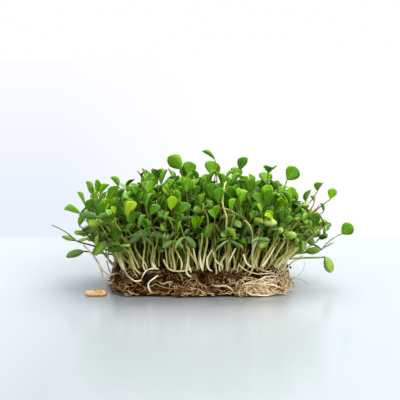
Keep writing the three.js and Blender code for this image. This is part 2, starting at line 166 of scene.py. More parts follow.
def aim(heading, rise, roll):
    along = at(math.cos(rise) * math.cos(heading), math.cos(rise) * math.sin(heading), math.sin(rise))
    flat = at(-math.sin(rise) * math.cos(heading), -math.sin(rise) * math.sin(heading), math.cos(rise))
    return along, flat * math.cos(roll) + np.cross(along, flat) * math.sin(roll)


def new_blade(base, aimed, form, size, fold=0):
    along, face = aimed
    return {
        "base": base, "along": along, "face": face, "length": form["length"] * size,
        "width": form["width"] * size, "fold": fold, "form": form,
    }


def blade_point(blade, station, side):
    form = blade["form"]
    half = blade["width"] / 2 * math.sin(math.pi * station ** form["peak"]) ** form["blunt"]
    raised = abs(side) * half * math.sin(blade["fold"])
    raised -= form["arch"] * blade["length"] * station * station
    beside = np.cross(blade["along"], blade["face"])
    return (
        blade["base"]
        + blade["along"] * blade["length"] * station
        + beside * side * half * math.cos(blade["fold"])
        + blade["face"] * raised
    )


# The room that plants have taken, kept in cells so that a neighbour is found at once
class Room:
    def __init__(self, cell):
        self.cell = cell
        self.cells = {}
        self.walls = None

    def key(self, point):
        return tuple(int(math.floor(c / self.cell)) for c in point)

    def take(self, points, clump, plant):
        for point in points:
            self.cells.setdefault(self.key(point), []).append((*point, clump, plant))

    def holds(self, point):
        """Whether a point is inside the room's walls, once it has them."""
        if self.walls is None:
            return True
        low, high = self.walls
        return all(a <= c <= b for a, c, b in zip(low, point, high))

    def is_clear(self, points, clump, plant, apart, within):
        if not all(self.holds(point) for point in points):
            return False
        for x, y, z in points:
            i, j, k = self.key((x, y, z))
            for di in (-1, 0, 1):
                for dj in (-1, 0, 1):
                    for dk in (-1, 0, 1):
                        for ox, oy, oz, other, whose in self.cells.get((i + di, j + dj, k + dk), ()):
                            if whose == plant:
                                continue
                            gap = within if other == clump else apart
                            if (x - ox) ** 2 + (y - oy) ** 2 + (z - oz) ** 2 <= gap * gap:
                                return False
        return True


room = Room(CLEAR["apart"])


def settle(clump, plant, propose, samples, tries, apart, within):
    for k in range(tries):
        part = propose(k)
        points = samples(part)
        if room.is_clear(points, clump, plant, apart, within):
            room.take(points, clump, plant)
            return part
    return None


def line_samples(line):
    points = [line[0]]
    for a, b in zip(line, line[1:]):
        count = max(1, math.ceil(np.linalg.norm(b - a) / CLEAR["step"]))
        points += [a + (b - a) * k / count for k in range(1, count + 1)]
    return points


def blade_samples(blade):
    sides = (-0.85, -0.3, 0.3, 0.85) if blade["form"] is LEAF else (-0.6, 0.6)
    return [blade_point(blade, s, t) for s in (0.15, 0.38, 0.62, 0.87) for t in sides]


def clump_centres():
    centres = []
    for row in range(CLUMPS["rows"]):
        columns = CLUMPS["columns"] - row % 2
        for column in range(columns):
            draw = stream(1000 + len(centres))
            x = (column - (columns - 1) / 2) * CLUMPS["pitch_x"]
            y = (row - (CLUMPS["rows"] - 1) / 2) * CLUMPS["pitch_y"]
            corner = 0.93 if abs(x) > 40 and abs(y) > 24 else 1
            dx = draw(-CLUMPS["wander"], CLUMPS["wander"])
            dy = draw(-CLUMPS["wander"], CLUMPS["wander"])
            centres.append(at(x * corner + dx, y * corner + dy, 0))
    return centres


def habit_of(draw, foot):
    """How a plant rooted at a point grows if nothing is in its way."""
    u, v = shares_of(foot[0], foot[1])
    reach = CANOPY["left"] if u < 0 else CANOPY["right"]
    rise = canopy_rise(u, v)
    return {
        "x": foot[0] + reach * u * abs(u) * draw(0.6, 1.25) + draw(-4, 4),
        "y": foot[1] + CANOPY["side"] * v * abs(v) * draw(0.6, 1.25) + draw(-4, 4),
        "z": MEDIUM["top"] + rise * draw(0.74, 1) - LEAF["length"] * 0.6, "node": draw(0.5, 0.66),
        "bow": 1.3, "lean": at(draw(-1.5, 1.5), draw(-1.5, 1.5), 0), "seed_heading": draw(0, 360),
        "seed_rise": draw(-12, 44), "heading": draw(0, 360), "rise": draw(25, 85),
        "roll": draw(-60, 60), "fold": draw(12, 46), "size": draw(0.84, 1.1),
        "seed_roll": draw(-40, 40), "handle": HANDLE["usual"], "loose": False, "hook": at(0, 0, 0),
        "seed_leaves": 2, "leafy": True, "turns": GOLDEN_ANGLE,
    }


def stem_curve(foot, node, habit):
    rise = node[2] - foot[2]
    lean = habit["lean"]
    if habit["loose"]:
        first = foot + at(0, 0, rise * 0.3) + lean + habit["hook"]
    else:
        first = foot + at(0, 0, max(rise * 0.38, habit["handle"]))
    second = foot + (node - foot) * 0.62
    second[2] = foot[2] + max(rise * 0.7, 6)
    second = second - lean

    def point(t):
        s = 1 - t
        return s**3 * foot + 3 * s * s * t * first + 3 * s * t * t * second + t**3 * node

    return point


def grow_plant(clump, plant, foot, habit, tries=TRIES, apart=None, within=None):
    """One plant: its stem's curve, its pair of seed leaves and its true leaf on a stalk."""
    apart = apart or CLEAR["apart"]
    within = within or CLEAR["within"]
    crown = at(habit["x"], habit["y"], habit["z"])
    across = habit["node"] ** habit["bow"]

    def spiral(k, pitch):
        reach = pitch * math.sqrt(k)
        return at(math.cos(k * GOLDEN_ANGLE) * reach, math.sin(k * GOLDEN_ANGLE) * reach, 0)

    def stem(k):
        node = foot + (crown - foot) * at(across, across, habit["node"]) + spiral(k, 0.9)
        return stem_curve(foot, node, habit)

    def seed_leaves(k):
        turn = k // 9
        heading = math.radians(habit["seed_heading"] + 40 * k + 13 * turn)
        rise = math.radians(habit["seed_rise"] + 14 * turn)
        size = habit["size"] * (1 - 0.1 * turn)
        pair = []
        for side in range(habit["seed_leaves"] if turn < 2 else 1):
            roll = math.radians(habit["seed_roll"]) * (1 - 2 * side)
            pair.append(new_blade(node, aim(heading + side * math.pi, rise, roll), COTYLEDON, size))
        return pair

    def shoot(k):
        base = crown + spiral(k, 1.2) + at(0, 0, (k % 3) * -1.5)
        heading = math.radians(habit["heading"]) + k * habit["turns"]
        aimed = aim(heading, math.radians(habit["rise"]), math.radians(habit["roll"]))
        blade = new_blade(base, aimed, LEAF, habit["size"], math.radians(habit["fold"]))
        knee = node + (base - node) * KNEE - habit["lean"] * 0.6 + at(0, 0, 0.8)
        return {"blade": blade, "knee": knee}

    def shoot_samples(part):
        stalk = line_samples([node, part["knee"], part["blade"]["base"]])
        return stalk + blade_samples(part["blade"]) if habit["leafy"] else stalk

    def place(propose, samples):
        return settle(clump, plant, propose, samples, tries, apart, within)

    curve = place(stem, lambda c: line_samples([c(t) for t in STEM_STATIONS]))
    if curve is None:
        return None
    node = curve(1)
    pair = place(seed_leaves, lambda p: [point for blade in p for point in blade_samples(blade)])
    top = place(shoot, shoot_samples)
    if pair is None and top is None:
        return None
    return {
        "stem": curve, "node": node, "pair": pair or [], "shoot": top if habit["node"] < 1 else None,
        "leafy": habit["leafy"], "seed": plant,
    }


# The plants that give the block its outline
SKYLINE_VALUES = ("x", "y", "z", "heading", "rise", "roll", "fold", "size")
SKYLINE = [
    (8.5, 2, 69, 175, 40, 15, 30, 1.0),
    (-9.8, 2, 63.6, 180, 48, 60, 12, 1.2),
    (-32, 4, 59, -90, 28, 0, 52, 0.9),
    (-22.9, 0, 58.5, -90, 45, 0, 36, 1.05),
    (22.5, 4, 63, 30, 64, 20, 30, 0.95),
    (38, 2, 61.5, -80, 30, 0, 34, 1.1),
    (48, 0, 58, 20, 50, 75, 14, 1.05),
    (65, 2, 51.5, -70, 42, 10, 42, 1.0),
    (72, 0, 47.5, 40, 62, 30, 34, 0.75),
    (-58.5, 2, 49, 150, 62, 60, 12, 1.05),
    (-65, -6, 40, 170, 20, 40, 30, 1.1),
    (-63.5, 4, 43.5, 150, 58, 50, 20, 1.0),
    (-51.5, 6, 50.5, 110, 70, 50, 20, 1.0),
    (-42.5, -37, 42, -120, 78, 165, 8, 1.15),
    (6, -24, 51, 60, 72, 20, 16, 1.0),
    (16.5, -27, 49.5, -100, 80, 175, 14, 1.0),
]

# Plants that hang out low over the slab's ends. Those whose node is 1 have only seed leaves.
STRAYS = [
    {
        "x": 78, "y": -4, "z": 28.7, "node": 0.52, "bow": 0.49,
        "heading": 0, "rise": 42, "roll": 75, "fold": 10, "size": 0.9,
    },
    {
        "x": -81, "y": -4, "z": 33.7, "node": 0.62, "bow": 0.9,
        "seed_heading": 160, "seed_rise": 20, "leafy": False, "size": 1,
    },
    {
        "x": 68.5, "y": -10, "z": 17, "node": 1, "bow": 1,
        "seed_heading": 0, "seed_rise": -64, "seed_roll": 78, "seed_leaves": 1,
    },
    {
        "x": 65, "y": -6, "z": 38, "node": 1, "bow": 1,
        "seed_heading": 5, "seed_rise": -22, "seed_roll": 30, "size": 1.05,
    },
    {
        "x": 57, "y": -15, "z": 21, "node": 1, "bow": 1,
        "seed_heading": -20, "seed_rise": 12, "seed_roll": 45, "size": 0.95,
    },
    {
        "x": -63, "y": -9, "z": 20, "node": 1, "bow": 1,
        "seed_heading": 175, "seed_rise": -8, "seed_roll": 55, "seed_leaves": 1,
    },
]
LANDMARKS = [dict(zip(SKYLINE_VALUES, plant)) for plant in SKYLINE]
LANDMARKS += [{"size": 1.1, **stray, "handle": HANDLE["stray"]} for stray in STRAYS]

centres = clump_centres()


def clump_for(wish, plants):
    pull = at(wish["x"], wish["y"], 0) * 0.8
    free = [k for k in range(len(centres)) if len(plants[k]) < 2]
    return min(free, key=lambda k: np.linalg.norm(centres[k] - pull))


def strand_line(k, steps=STRAND["steps"]):
    """A root that leaves the mat's rim, climbs the slab's side in a low arch and turns back."""
    draw = stream(300 + k)
    start = TURN * (k + draw(0, 0.6)) / STRAND["count"]
    sweep = draw(0.18, 0.42) * (1 if k % 2 else -1)
    climb = draw(2.5, 8)
    line = []
    for i in range(steps + 1):
        t = i / steps
        end = abs(2 * t - 1)
        edge = outline(MEDIUM["length"] / 2, MEDIUM["depth"] / 2, start + sweep * t)
        out = np.linalg.norm(edge) + STRAND["proud"] - 2.6 * end**8
        line.append(unit(edge) * out + at(0, 0, 2.4 + climb * (1 - end**2)))
    return line


def grow_clumps():
    """The plants of the construction, each where it stands there."""
    plants = [[] for _ in centres]

    def grow(clump, plant, wish):
        turn = clump + len(plants[clump]) * TURN / 3
        cx, cy, _ = centres[clump]
        foot = at(
            cx + PLUG["spread"] * math.cos(turn), cy + PLUG["spread"] * math.sin(turn),
            medium_top(cx, cy) - PLUG["sunk"] - 1.5,
        )
        habit = {**habit_of(stream(plant), foot), **wish}
        grown = grow_plant(clump, plant, foot, habit)
        if grown:
            plants[clump].append(grown)

    for k, wish in enumerate(LANDMARKS):
        grow(clump_for(wish, plants), 5000 + k, {**wish, "turns": 0})
    for clump in range(len(centres)):
        wanted = 3 if clump % 3 == 0 else 2
        for k in range(len(plants[clump]), wanted):
            grow(clump, clump * 10 + k, {})
    return plants


for k in range(STRAND["count"]):
    room.take(line_samples(strand_line(k)), -1, -1)
plants = grow_clumps()


def both_ways(draw, reach):
    return draw(-reach, reach)


# More plants between those of the construction, where there is room for them
def infill_habit(draw, foot, low):
    """A plant of the infill. Those at the rim turn their leaves out towards the light."""
    habit = habit_of(draw, foot)
    rim = max(abs(share) for share in shares_of(foot[0], foot[1]))
    out = math.degrees(math.atan2(foot[1] * MEDIUM["length"] / MEDIUM["depth"], foot[0]))
    habit["loose"] = True
    habit["lean"] = at(both_ways(draw, LOOSE["lean"]), both_ways(draw, LOOSE["lean"]), 0)
    habit["seed_roll"] = both_ways(draw, LOOSE["seed_roll"])
    habit["seed_rise"] = draw(*LOOSE["seed_rise"])
    if rim > RIM["from"]:
        hook = unit(at(*foot[:2], 0)) * draw(*RIM["hook"])
        habit["hook"] = hook + at(both_ways(draw, RIM["sideways"]), 0, -RIM["dip"])
        habit["heading"] = out + 180 + both_ways(draw, RIM["heading"])
        habit["rise"] = draw(*RIM["rise"])
        habit["roll"] = both_ways(draw, RIM["roll"])
        habit["seed_heading"] = out + both_ways(draw, RIM["seed_heading"])
        habit["seed_rise"] = draw(*RIM["seed_rise"])
        habit["seed_roll"] = draw(*RIM["seed_roll"]) * (1 if draw(0, 1) > 0.5 else -1)
    if low:
        at_end = abs(foot[0]) > END_HABIT["from"] * MEDIUM["length"]
        reach = END_HABIT if at_end else LOW_HABIT
        habit["node"] = 1
        habit["bow"] = 1
        habit["z"] = MEDIUM["top"] + draw(*reach["height"])
        habit["x"] = foot[0] + (habit["x"] - foot[0]) * draw(*reach["spread"])
        habit["y"] = foot[1] + (habit["y"] - foot[1]) * draw(*LOW_HABIT["side_spread"])
        habit["size"] = draw(*LOW_HABIT["size"])
        habit["leafy"] = False
    else:
        spread = (habit["x"] - foot[0]) * draw(*TALL_HABIT["spread"])
        habit["x"] = foot[0] + spread + both_ways(draw, TALL_HABIT["aside"])
        habit["z"] = MEDIUM["top"] + (habit["z"] - MEDIUM["top"]) * draw(*TALL_HABIT["height"])
        lowest_node = (MEDIUM["top"] + draw(*TALL_HABIT["node"]) - foot[2]) / (habit["z"] - foot[2])
        habit["node"] = min(TALL_HABIT["highest_node"], max(habit["node"], lowest_node))
        habit["size"] = draw(*TALL_HABIT["size"])
        habit["fold"] = draw(*TALL_HABIT["fold"])
        habit["leafy"] = draw(0, 1) > TALL_HABIT["bare"]
    return habit


def grow_infill(bed, low, least_x=0):
    for k in range(bed["columns"] * bed["rows"]):
        draw = stream(bed["seed"] + k)
        column = k % bed["columns"] - (bed["columns"] - 1) / 2
        row = k // bed["columns"] - (bed["rows"] - 1) / 2
        x = column * bed["pitch_x"] + both_ways(draw, SCATTER)
        y = row * bed["pitch_y"] + both_ways(draw, SCATTER)
        x += TUFT["gather"] * math.sin(TURN * (x / TUFT["pitch"] + TUFT["row"] * row))
        edge = edge_reach(x, y)
        inset = edge - math.hypot(x, y)
        if inset < 0 or abs(x) < least_x:
            continue
        foot = at(x, y, medium_top(x, y) - 2)
        if inset < SIDE_ROOTED["within"]:
            # Rooted in the slab's side, a little below its top
            foot = foot * (edge - SIDE_ROOTED["inset"]) / math.hypot(x, y)
            foot[2] = medium_top(x, y) - draw(*SIDE_ROOTED["below"])
        clump = min(range(len(centres)), key=lambda c: np.linalg.norm(centres[c][:2] - foot[:2]))
        habit = infill_habit(draw, foot, low)
        gap = bed["gap"]
        grown = grow_plant(clump, bed["seed"] + k, foot, habit, INFILL_TRIES, gap, gap)
        if grown:
            plants[clump].append(grown)


room.walls = [[c / MM for c in corner] for corner in CAD_BOX]
grow_infill(TALL, False)
grow_infill(LOW, True)
grow_infill(ENDS, True, ENDS["least_x"])


def colour(code):
    """The linear colour of an sRGB hex value."""
    parts = [int(code[i : i + 2], 16) / 255 for i in (1, 3, 5)]
    return (*[c / 12.92 if c <= 0.04045 else ((c + 0.055) / 1.055) ** 2.4 for c in parts], 1)


def add(tree, kind, inputs=None, **settings):
    """Adds a node with its settings and links. An input is a value, a node or one of its outputs."""
    made = tree.nodes.new(kind)
    for name, value in settings.items():
        if name == "stops":
            ramp = made.color_ramp.elements
            while len(ramp) < len(value):
                ramp.new(1)
            for element, (place, code) in zip(ramp, value):
                element.position = place
                element.color = colour(code)
        else:
            setattr(made, name, value)
    for name, value in (inputs or {}).items():
        open_sockets = [s for s in made.inputs if s.enabled]
        if isinstance(name, str):
            socket = next(s for s in open_sockets if s.name == name)
        else:
            socket = open_sockets[name]
        if isinstance(value, bpy.types.Node):
            value = next(out for out in value.outputs if out.enabled)
        if isinstance(value, bpy.types.NodeSocket):
            tree.links.new(value, socket)
        else:
            socket.default_value = value
    return made


def work_out(tree, known, steps):
    """Adds a row of sums. Each step is a name, an operation and its terms, numbers or known names."""
    for name, operation, *terms in steps:
        inputs = {k: known.get(term, term) for k, term in enumerate(terms)}
        known[name] = add(tree, "ShaderNodeMath", inputs, operation=operation)
    return known


def new_object(name, data):
    made = bpy.data.objects.new(name, data)
    bpy.context.scene.collection.objects.link(made)
    return made


# Guides: points and lines with their values, from which a tree of nodes grows the fine mesh
class Guide:
    def __init__(self):
        self.points = []
        self.edges = []
        self.values = {}

    def put(self, point, **values):
        for name, value in values.items():
            self.values.setdefault(name, {})[len(self.points)] = value
        self.points.append(point * MM)

    def line(self, points, radii, heights=None, **values):
        first = len(self.points)
        for k, (point, radius) in enumerate(zip(points, radii)):
            height = {"height": heights[k]} if heights else {}
            self.put(point, radius=radius * MM, **height, **values)
        self.edges += [(i, i + 1) for i in range(first, len(self.points) - 1)]

    def finish(self, name):
        mesh = bpy.data.meshes.new(name)
        mesh.from_pydata([tuple(p) for p in self.points], self.edges, [])
        for value, places in self.values.items():
            vector = np.ndim(next(iter(places.values()))) == 1
            filled = np.zeros((len(self.points), 3) if vector else len(self.points))
            for place, number in places.items():
                filled[place] = number
            layer = mesh.attributes.new(value, "FLOAT_VECTOR" if vector else "FLOAT", "POINT")
            layer.data.foreach_set("vector" if vector else "value", filled.ravel())
        return new_object(name, mesh)


def new_tree(name, inputs):
    """A geometry tree whose named inputs are given as name, kind of socket and usual value."""
    tree = bpy.data.node_groups.new(name, "GeometryNodeTree")
    tree.interface.new_socket("Geometry", in_out="INPUT", socket_type="NodeSocketGeometry")
    tree.interface.new_socket("Geometry", in_out="OUTPUT", socket_type="NodeSocketGeometry")
    for label, kind, usual in inputs:
        socket = tree.interface.new_socket(label, in_out="INPUT", socket_type="NodeSocket" + kind)
        if usual is not None:
            socket.default_value = usual
    return tree, tree.nodes.new("NodeGroupInput").outputs, tree.nodes.new("NodeGroupOutput").inputs


def keep_mesh(name, guide, tree, settings, left_out=()):
    """Runs a tree on a guide and keeps what it makes as a plain mesh at the origin."""
    modifier = guide.modifiers.new("growth", "NODES")
    modifier.node_group = tree
    for item in tree.interface.items_tree:
        if item.in_out == "INPUT" and item.name in settings:
            modifier[item.identifier] = settings[item.name]
    seen = guide.evaluated_get(bpy.context.evaluated_depsgraph_get())
    mesh = bpy.data.meshes.new_from_object(seen)
    mesh.name = name
    guide.modifiers.remove(modifier)
    for layer in [a.name for a in mesh.attributes if a.name in left_out]:
        mesh.attributes.remove(mesh.attributes[layer])
    slots = list(mesh.materials)
    kept = [k for k, material in enumerate(slots) if material]
    place = [kept.index(k) if k in kept else 0 for k in range(len(slots))]
    indices = [place[polygon.material_index] for polygon in mesh.polygons]
    mesh.materials.clear()
    for k in kept:
        mesh.materials.append(slots[k])
    mesh.polygons.foreach_set("material_index", indices)
    bpy.data.objects.remove(guide)
    return new_object(name, mesh)


def finish_tree(tree, geometry, material, result):
    """Ends a tree in a real mesh, shaded smooth, of one material."""
    whole = add(tree, "GeometryNodeRealizeInstances", {"Geometry": geometry})
    smooth = add(tree, "GeometryNodeSetShadeSmooth", {"Geometry": whole})
    painted = add(tree, "GeometryNodeSetMaterial", {"Geometry": smooth, "Material": material})
    tree.links.new(painted.outputs[0], result["Geometry"])
    return tree


# How a flat grid becomes a blade: along it, across it and over it
BLADE_SUMS = [
    ("turn", "MULTIPLY", "row", math.pi),
    ("sine", "SINE", "turn"),
    ("station", "MULTIPLY_ADD", "sine", 0.5, 0.5),
    ("side", "MULTIPLY", "column", 2.0),
    ("late", "POWER", "station", "peak"),
    ("half turn", "MULTIPLY", "late", math.pi),
    ("swell", "SINE", "half turn"),
    ("open", "MAXIMUM", "swell", 0.0),
    ("round", "POWER", "open", "blunt"),
    ("half", "MULTIPLY", "round", "width"),
    # The fold is a soft crease along the midrib, with edges that lift a little
    ("side squared", "MULTIPLY", "side", "side"),
    ("eased", "ADD", "side squared", 0.02),
    ("soft side", "SQRT", "eased"),
    ("crease", "SUBTRACT", "soft side", 0.14),
    ("up", "SINE", "fold"),
    ("across", "COSINE", "fold"),
    ("wing", "MULTIPLY", "crease", "half"),
    ("raised", "MULTIPLY", "wing", "up"),
    ("outward", "MULTIPLY", "side", "half"),
    ("lateral", "MULTIPLY", "outward", "across"),
    ("phase", "MULTIPLY_ADD", "station", 9.0, "tone"),
    ("wave", "SINE", "phase"),
    ("edge", "MULTIPLY", "wave", "side squared"),
    ("edge lift", "MULTIPLY", "edge", "half"),
    ("station squared", "MULTIPLY", "station", "station"),
    ("bent", "MULTIPLY", "station squared", "arch"),
    ("drop", "MULTIPLY", "bent", "length"),
    ("rim", "SUBTRACT", 1.0, "side squared"),
    ("body", "SQRT", "round"),
    ("plump", "MULTIPLY", "rim", "body"),
    ("skin", "MULTIPLY", "plump", "layer"),
    ("lift", "MULTIPLY", "skin", "thickness"),
    ("high", "SUBTRACT", "raised", "drop"),
    ("higher", "MULTIPLY_ADD", "edge lift", 0.07, "high"),
    ("height over", "ADD", "higher", "lift"),
    ("ahead", "MULTIPLY", "station", "length"),
]


def shoot_tree():
    """Stems along the guide's lines, and a folded blade on each of its loose points."""
    tree, given, result = new_tree(
        "clover shoots",
        [
            ("Stem sides", "Int", 7),
            ("Leaf rows", "Int", 9),
            ("Leaf columns", "Int", 5),
            ("Seed leaf rows", "Int", 7),
            ("Seed leaf columns", "Int", 3),
            ("Blade thickness", "Float", 0.00045),
            ("Join distance", "Float", 0.00001),
            ("Stem", "Material", None),
            ("Seed leaf", "Material", None),
            ("Leaf", "Material", None),
        ],
    )
    read = {
        name: add(tree, "GeometryNodeInputNamedAttribute", {"Name": name}, data_type="FLOAT")
        for name in ("kind", "radius", "width", "length", "fold", "arch", "peak", "blunt", "tone")
    }
    aimed = {
        name: add(tree, "GeometryNodeInputNamedAttribute", {"Name": name}, data_type="FLOAT_VECTOR")
        for name in ("along", "face", "root", "grid")
    }

    # Stems and stalks
    is_line = add(tree, "ShaderNodeMath", {0: read["kind"], 1: 0.5}, operation="LESS_THAN")
    parts = add(
        tree, "GeometryNodeSeparateGeometry", {"Geometry": given["Geometry"], "Selection": is_line},
        domain="POINT",
    )
    path = add(tree, "GeometryNodeMeshToCurve", {"Mesh": parts.outputs["Selection"]})
    ring = add(tree, "GeometryNodeCurvePrimitiveCircle", {"Resolution": given["Stem sides"], "Radius": 1.0})
    tube = add(
        tree, "GeometryNodeCurveToMesh",
        {"Curve": path, "Profile Curve": ring, "Scale": read["radius"], "Fill Caps": True},
    )
    stems = add(tree, "GeometryNodeSetMaterial", {"Geometry": tube, "Material": given["Stem"]})

    # Blades: a flat grid with an upper and an under side, set on each point and then bent
    roots = add(
        tree,
        "GeometryNodeStoreNamedAttribute",
        {
            "Geometry": parts.outputs["Inverted"], "Name": "root",
            "Value": add(tree, "GeometryNodeInputPosition"),
        },
        data_type="FLOAT_VECTOR",
    )
    finished = [stems]
    for kind, label, rows, columns in (
        (SEED_LEAF_KIND, "Seed leaf", "Seed leaf rows", "Seed leaf columns"),
        (LEAF_KIND, "Leaf", "Leaf rows", "Leaf columns"),
    ):
        wanted = add(tree, "ShaderNodeMath", {0: read["kind"], 1: kind, 2: 0.1}, operation="COMPARE")
        block = add(
            tree, "GeometryNodeMeshCube",
            {"Size": (1, 1, 1), "Vertices X": given[rows], "Vertices Y": given[columns], "Vertices Z": 2},
        )
        flat = add(
            tree, "GeometryNodeStoreNamedAttribute",
            {"Geometry": block, "Name": "grid", "Value": add(tree, "GeometryNodeInputPosition")},
            data_type="FLOAT_VECTOR",
        )
        set_out = add(
            tree, "GeometryNodeInstanceOnPoints", {"Points": roots, "Selection": wanted, "Instance": flat}
        )
        loose = add(tree, "GeometryNodeRealizeInstances", {"Geometry": set_out})
        place = add(tree, "ShaderNodeSeparateXYZ", {0: aimed["grid"]})
        known = work_out(
            tree,
            {
                **read, "row": place.outputs["X"], "column": place.outputs["Y"],
                "layer": place.outputs["Z"], "thickness": given["Blade thickness"],
            },
            BLADE_SUMS,
        )
        beside = add(
            tree, "ShaderNodeVectorMath", {0: aimed["face"], 1: aimed["along"]}, operation="CROSS_PRODUCT"
        )
        spot = aimed["root"]
        for axis, reach in ((aimed["along"], "ahead"), (beside, "lateral"), (aimed["face"], "height over")):
            move = add(tree, "ShaderNodeVectorMath", {0: axis, "Scale": known[reach]}, operation="SCALE")
            spot = add(tree, "ShaderNodeVectorMath", {0: spot, 1: move}, operation="ADD")
        blades = loose
        for name in ("station", "side", "layer"):
            blades = add(
                tree, "GeometryNodeStoreNamedAttribute",
                {"Geometry": blades, "Name": name, "Value": known[name]}, data_type="FLOAT",
            )
        blades = add(tree, "GeometryNodeSetPosition", {"Geometry": blades, "Position": spot})
        blades = add(
            tree, "GeometryNodeMergeByDistance", {"Geometry": blades, "Distance": given["Join distance"]}
        )
        finished.append(
            add(tree, "GeometryNodeSetMaterial", {"Geometry": blades, "Material": given[label]})
        )
    joined = tree.nodes.new("GeometryNodeJoinGeometry")
    for part in reversed(finished):
        tree.links.new(part.outputs[0], joined.inputs[0])
    whole = add(tree, "GeometryNodeRealizeInstances", {"Geometry": joined})
    smooth = add(tree, "GeometryNodeSetShadeSmooth", {"Geometry": whole})
    tree.links.new(smooth.outputs[0], result["Geometry"])
    return tree


def shade_at(point):
    """How much of the canopy is over a point, and how far inside its sides the point is, which sets the
    painted shade of leaves and stems.
    """
    x, y, z = point
    over = (MEDIUM["top"] + canopy_rise(*shares_of(x, y)) - PAINTED_SHADE["top"] - z) / PAINTED_SHADE["below"]
    flare = PAINTED_SHADE["flare"] * max(0, z - MEDIUM["top"])
    inside = (edge_reach(x, y) + flare - math.hypot(x, y)) / PAINTED_SHADE["inside"]
    return min(1, max(0, over)), min(1, max(0, inside))


def plant_guide(guide, plant):
    """The lines and points of one plant: its stem, stalk, seed leaves and true leaf."""
    draw = stream(plant["seed"] + LOOK_SEEDS)
    tone = draw(0, 1)
    thick = draw(*FINISH["thick"])
    sway = at(both_ways(draw, FINISH["sway"]), both_ways(draw, FINISH["sway"]), 0)
    ripple = at(both_ways(draw, FINISH["ripple"]), both_ways(draw, FINISH["ripple"]), 0)
    # Painted shade: a stem rooted inside the canopy starts higher on its colour ramp, greener and darker
    inside = shade_at(plant["stem"](0))[1] * PAINTED_SHADE["stem"]
    stem = []
    for i in range(STEM_STEPS + 1):
        turn = TURN * i / STEM_STEPS
        wave = sway * math.sin(turn) + ripple * math.sin(2 * turn)
        stem.append(plant["stem"](i / STEM_STEPS) + wave)
    r0, r1 = STEM_RADIUS
    radii = [thick * (r0 + (r1 - r0) * i / STEM_STEPS) for i in range(STEM_STEPS + 1)]
    climb = NODE_HEIGHT - 0.25 * inside
    guide.line(stem, radii, [inside + climb * i / STEM_STEPS for i in range(STEM_STEPS + 1)], tone=tone)
    for blade in plant["pair"]:
        put_blade(guide, blade, SEED_LEAF_KIND, draw(0, 1), draw(*FINISH["seed_bend"]))
    if plant["shoot"]:
        # The stalk is a parabola from the node through the knee to the blade
        blade = plant["shoot"]["blade"]
        start, knee, end = plant["node"], plant["shoot"]["knee"], blade["base"]
        control = (knee - start * (1 - KNEE) ** 2 - end * KNEE**2) / (2 * (1 - KNEE) * KNEE)
        stalk = []
        for i in range(STALK_STEPS + 1):
            t = i / STALK_STEPS
            stalk.append(start * (1 - t) ** 2 + control * 2 * t * (1 - t) + end * t * t)
        s0, s1 = STALK_RADIUS
        radii = [thick * (s0 + (s1 - s0) * i / STALK_STEPS) for i in range(STALK_STEPS + 1)]
        climb = BLADE_HEIGHT - NODE_HEIGHT
        heights = [NODE_HEIGHT + climb * i / STALK_STEPS for i in range(STALK_STEPS + 1)]
        guide.line(stalk, radii, heights, tone=tone)
        if plant["leafy"]:
            put_blade(guide, blade, LEAF_KIND, draw(0, 1), draw(*FINISH["bend"]))


def put_blade(guide, blade, kind, tone, bend):
    shape = LEAF_SHAPE if kind == LEAF_KIND else SEED_LEAF_SHAPE
    # Painted shade: a blade with canopy over it, inside the canopy's sides, is given a darker tone
    over, inside = shade_at(blade_point(blade, 0.5, 0))
    guide.put(
        blade["base"], kind=kind, along=blade["along"], face=blade["face"], length=blade["length"] * MM,
        width=blade["width"] / 2 * shape["width"] * MM, fold=blade["fold"],
        arch=blade["form"]["arch"] * bend, peak=shape["peak"], blunt=shape["blunt"],
        tone=tone - PAINTED_SHADE["leaf"] * over * inside,
    )


def strand_tree():
    """Smooth round strands through the guide's points, such as roots and the stems on the soil."""
    tree, given, result = new_tree(
        "strands", [("Sides", "Int", 5), ("Step", "Float", 0.0009), ("Material", "Material", None)]
    )
    radius = add(tree, "GeometryNodeInputNamedAttribute", {"Name": "radius"}, data_type="FLOAT")
    path = add(tree, "GeometryNodeMeshToCurve", {"Mesh": given["Geometry"]})
    bent = add(tree, "GeometryNodeCurveSplineType", {"Curve": path}, spline_type="CATMULL_ROM")
    even = add(tree, "GeometryNodeResampleCurve", {"Curve": bent, "Length": given["Step"]}, mode="LENGTH")
    ring = add(tree, "GeometryNodeCurvePrimitiveCircle", {"Resolution": given["Sides"], "Radius": 1.0})
    tube = add(
        tree, "GeometryNodeCurveToMesh",
        {"Curve": even, "Profile Curve": ring, "Scale": radius, "Fill Caps": True},
    )
    return finish_tree(tree, tube, given["Material"], result)


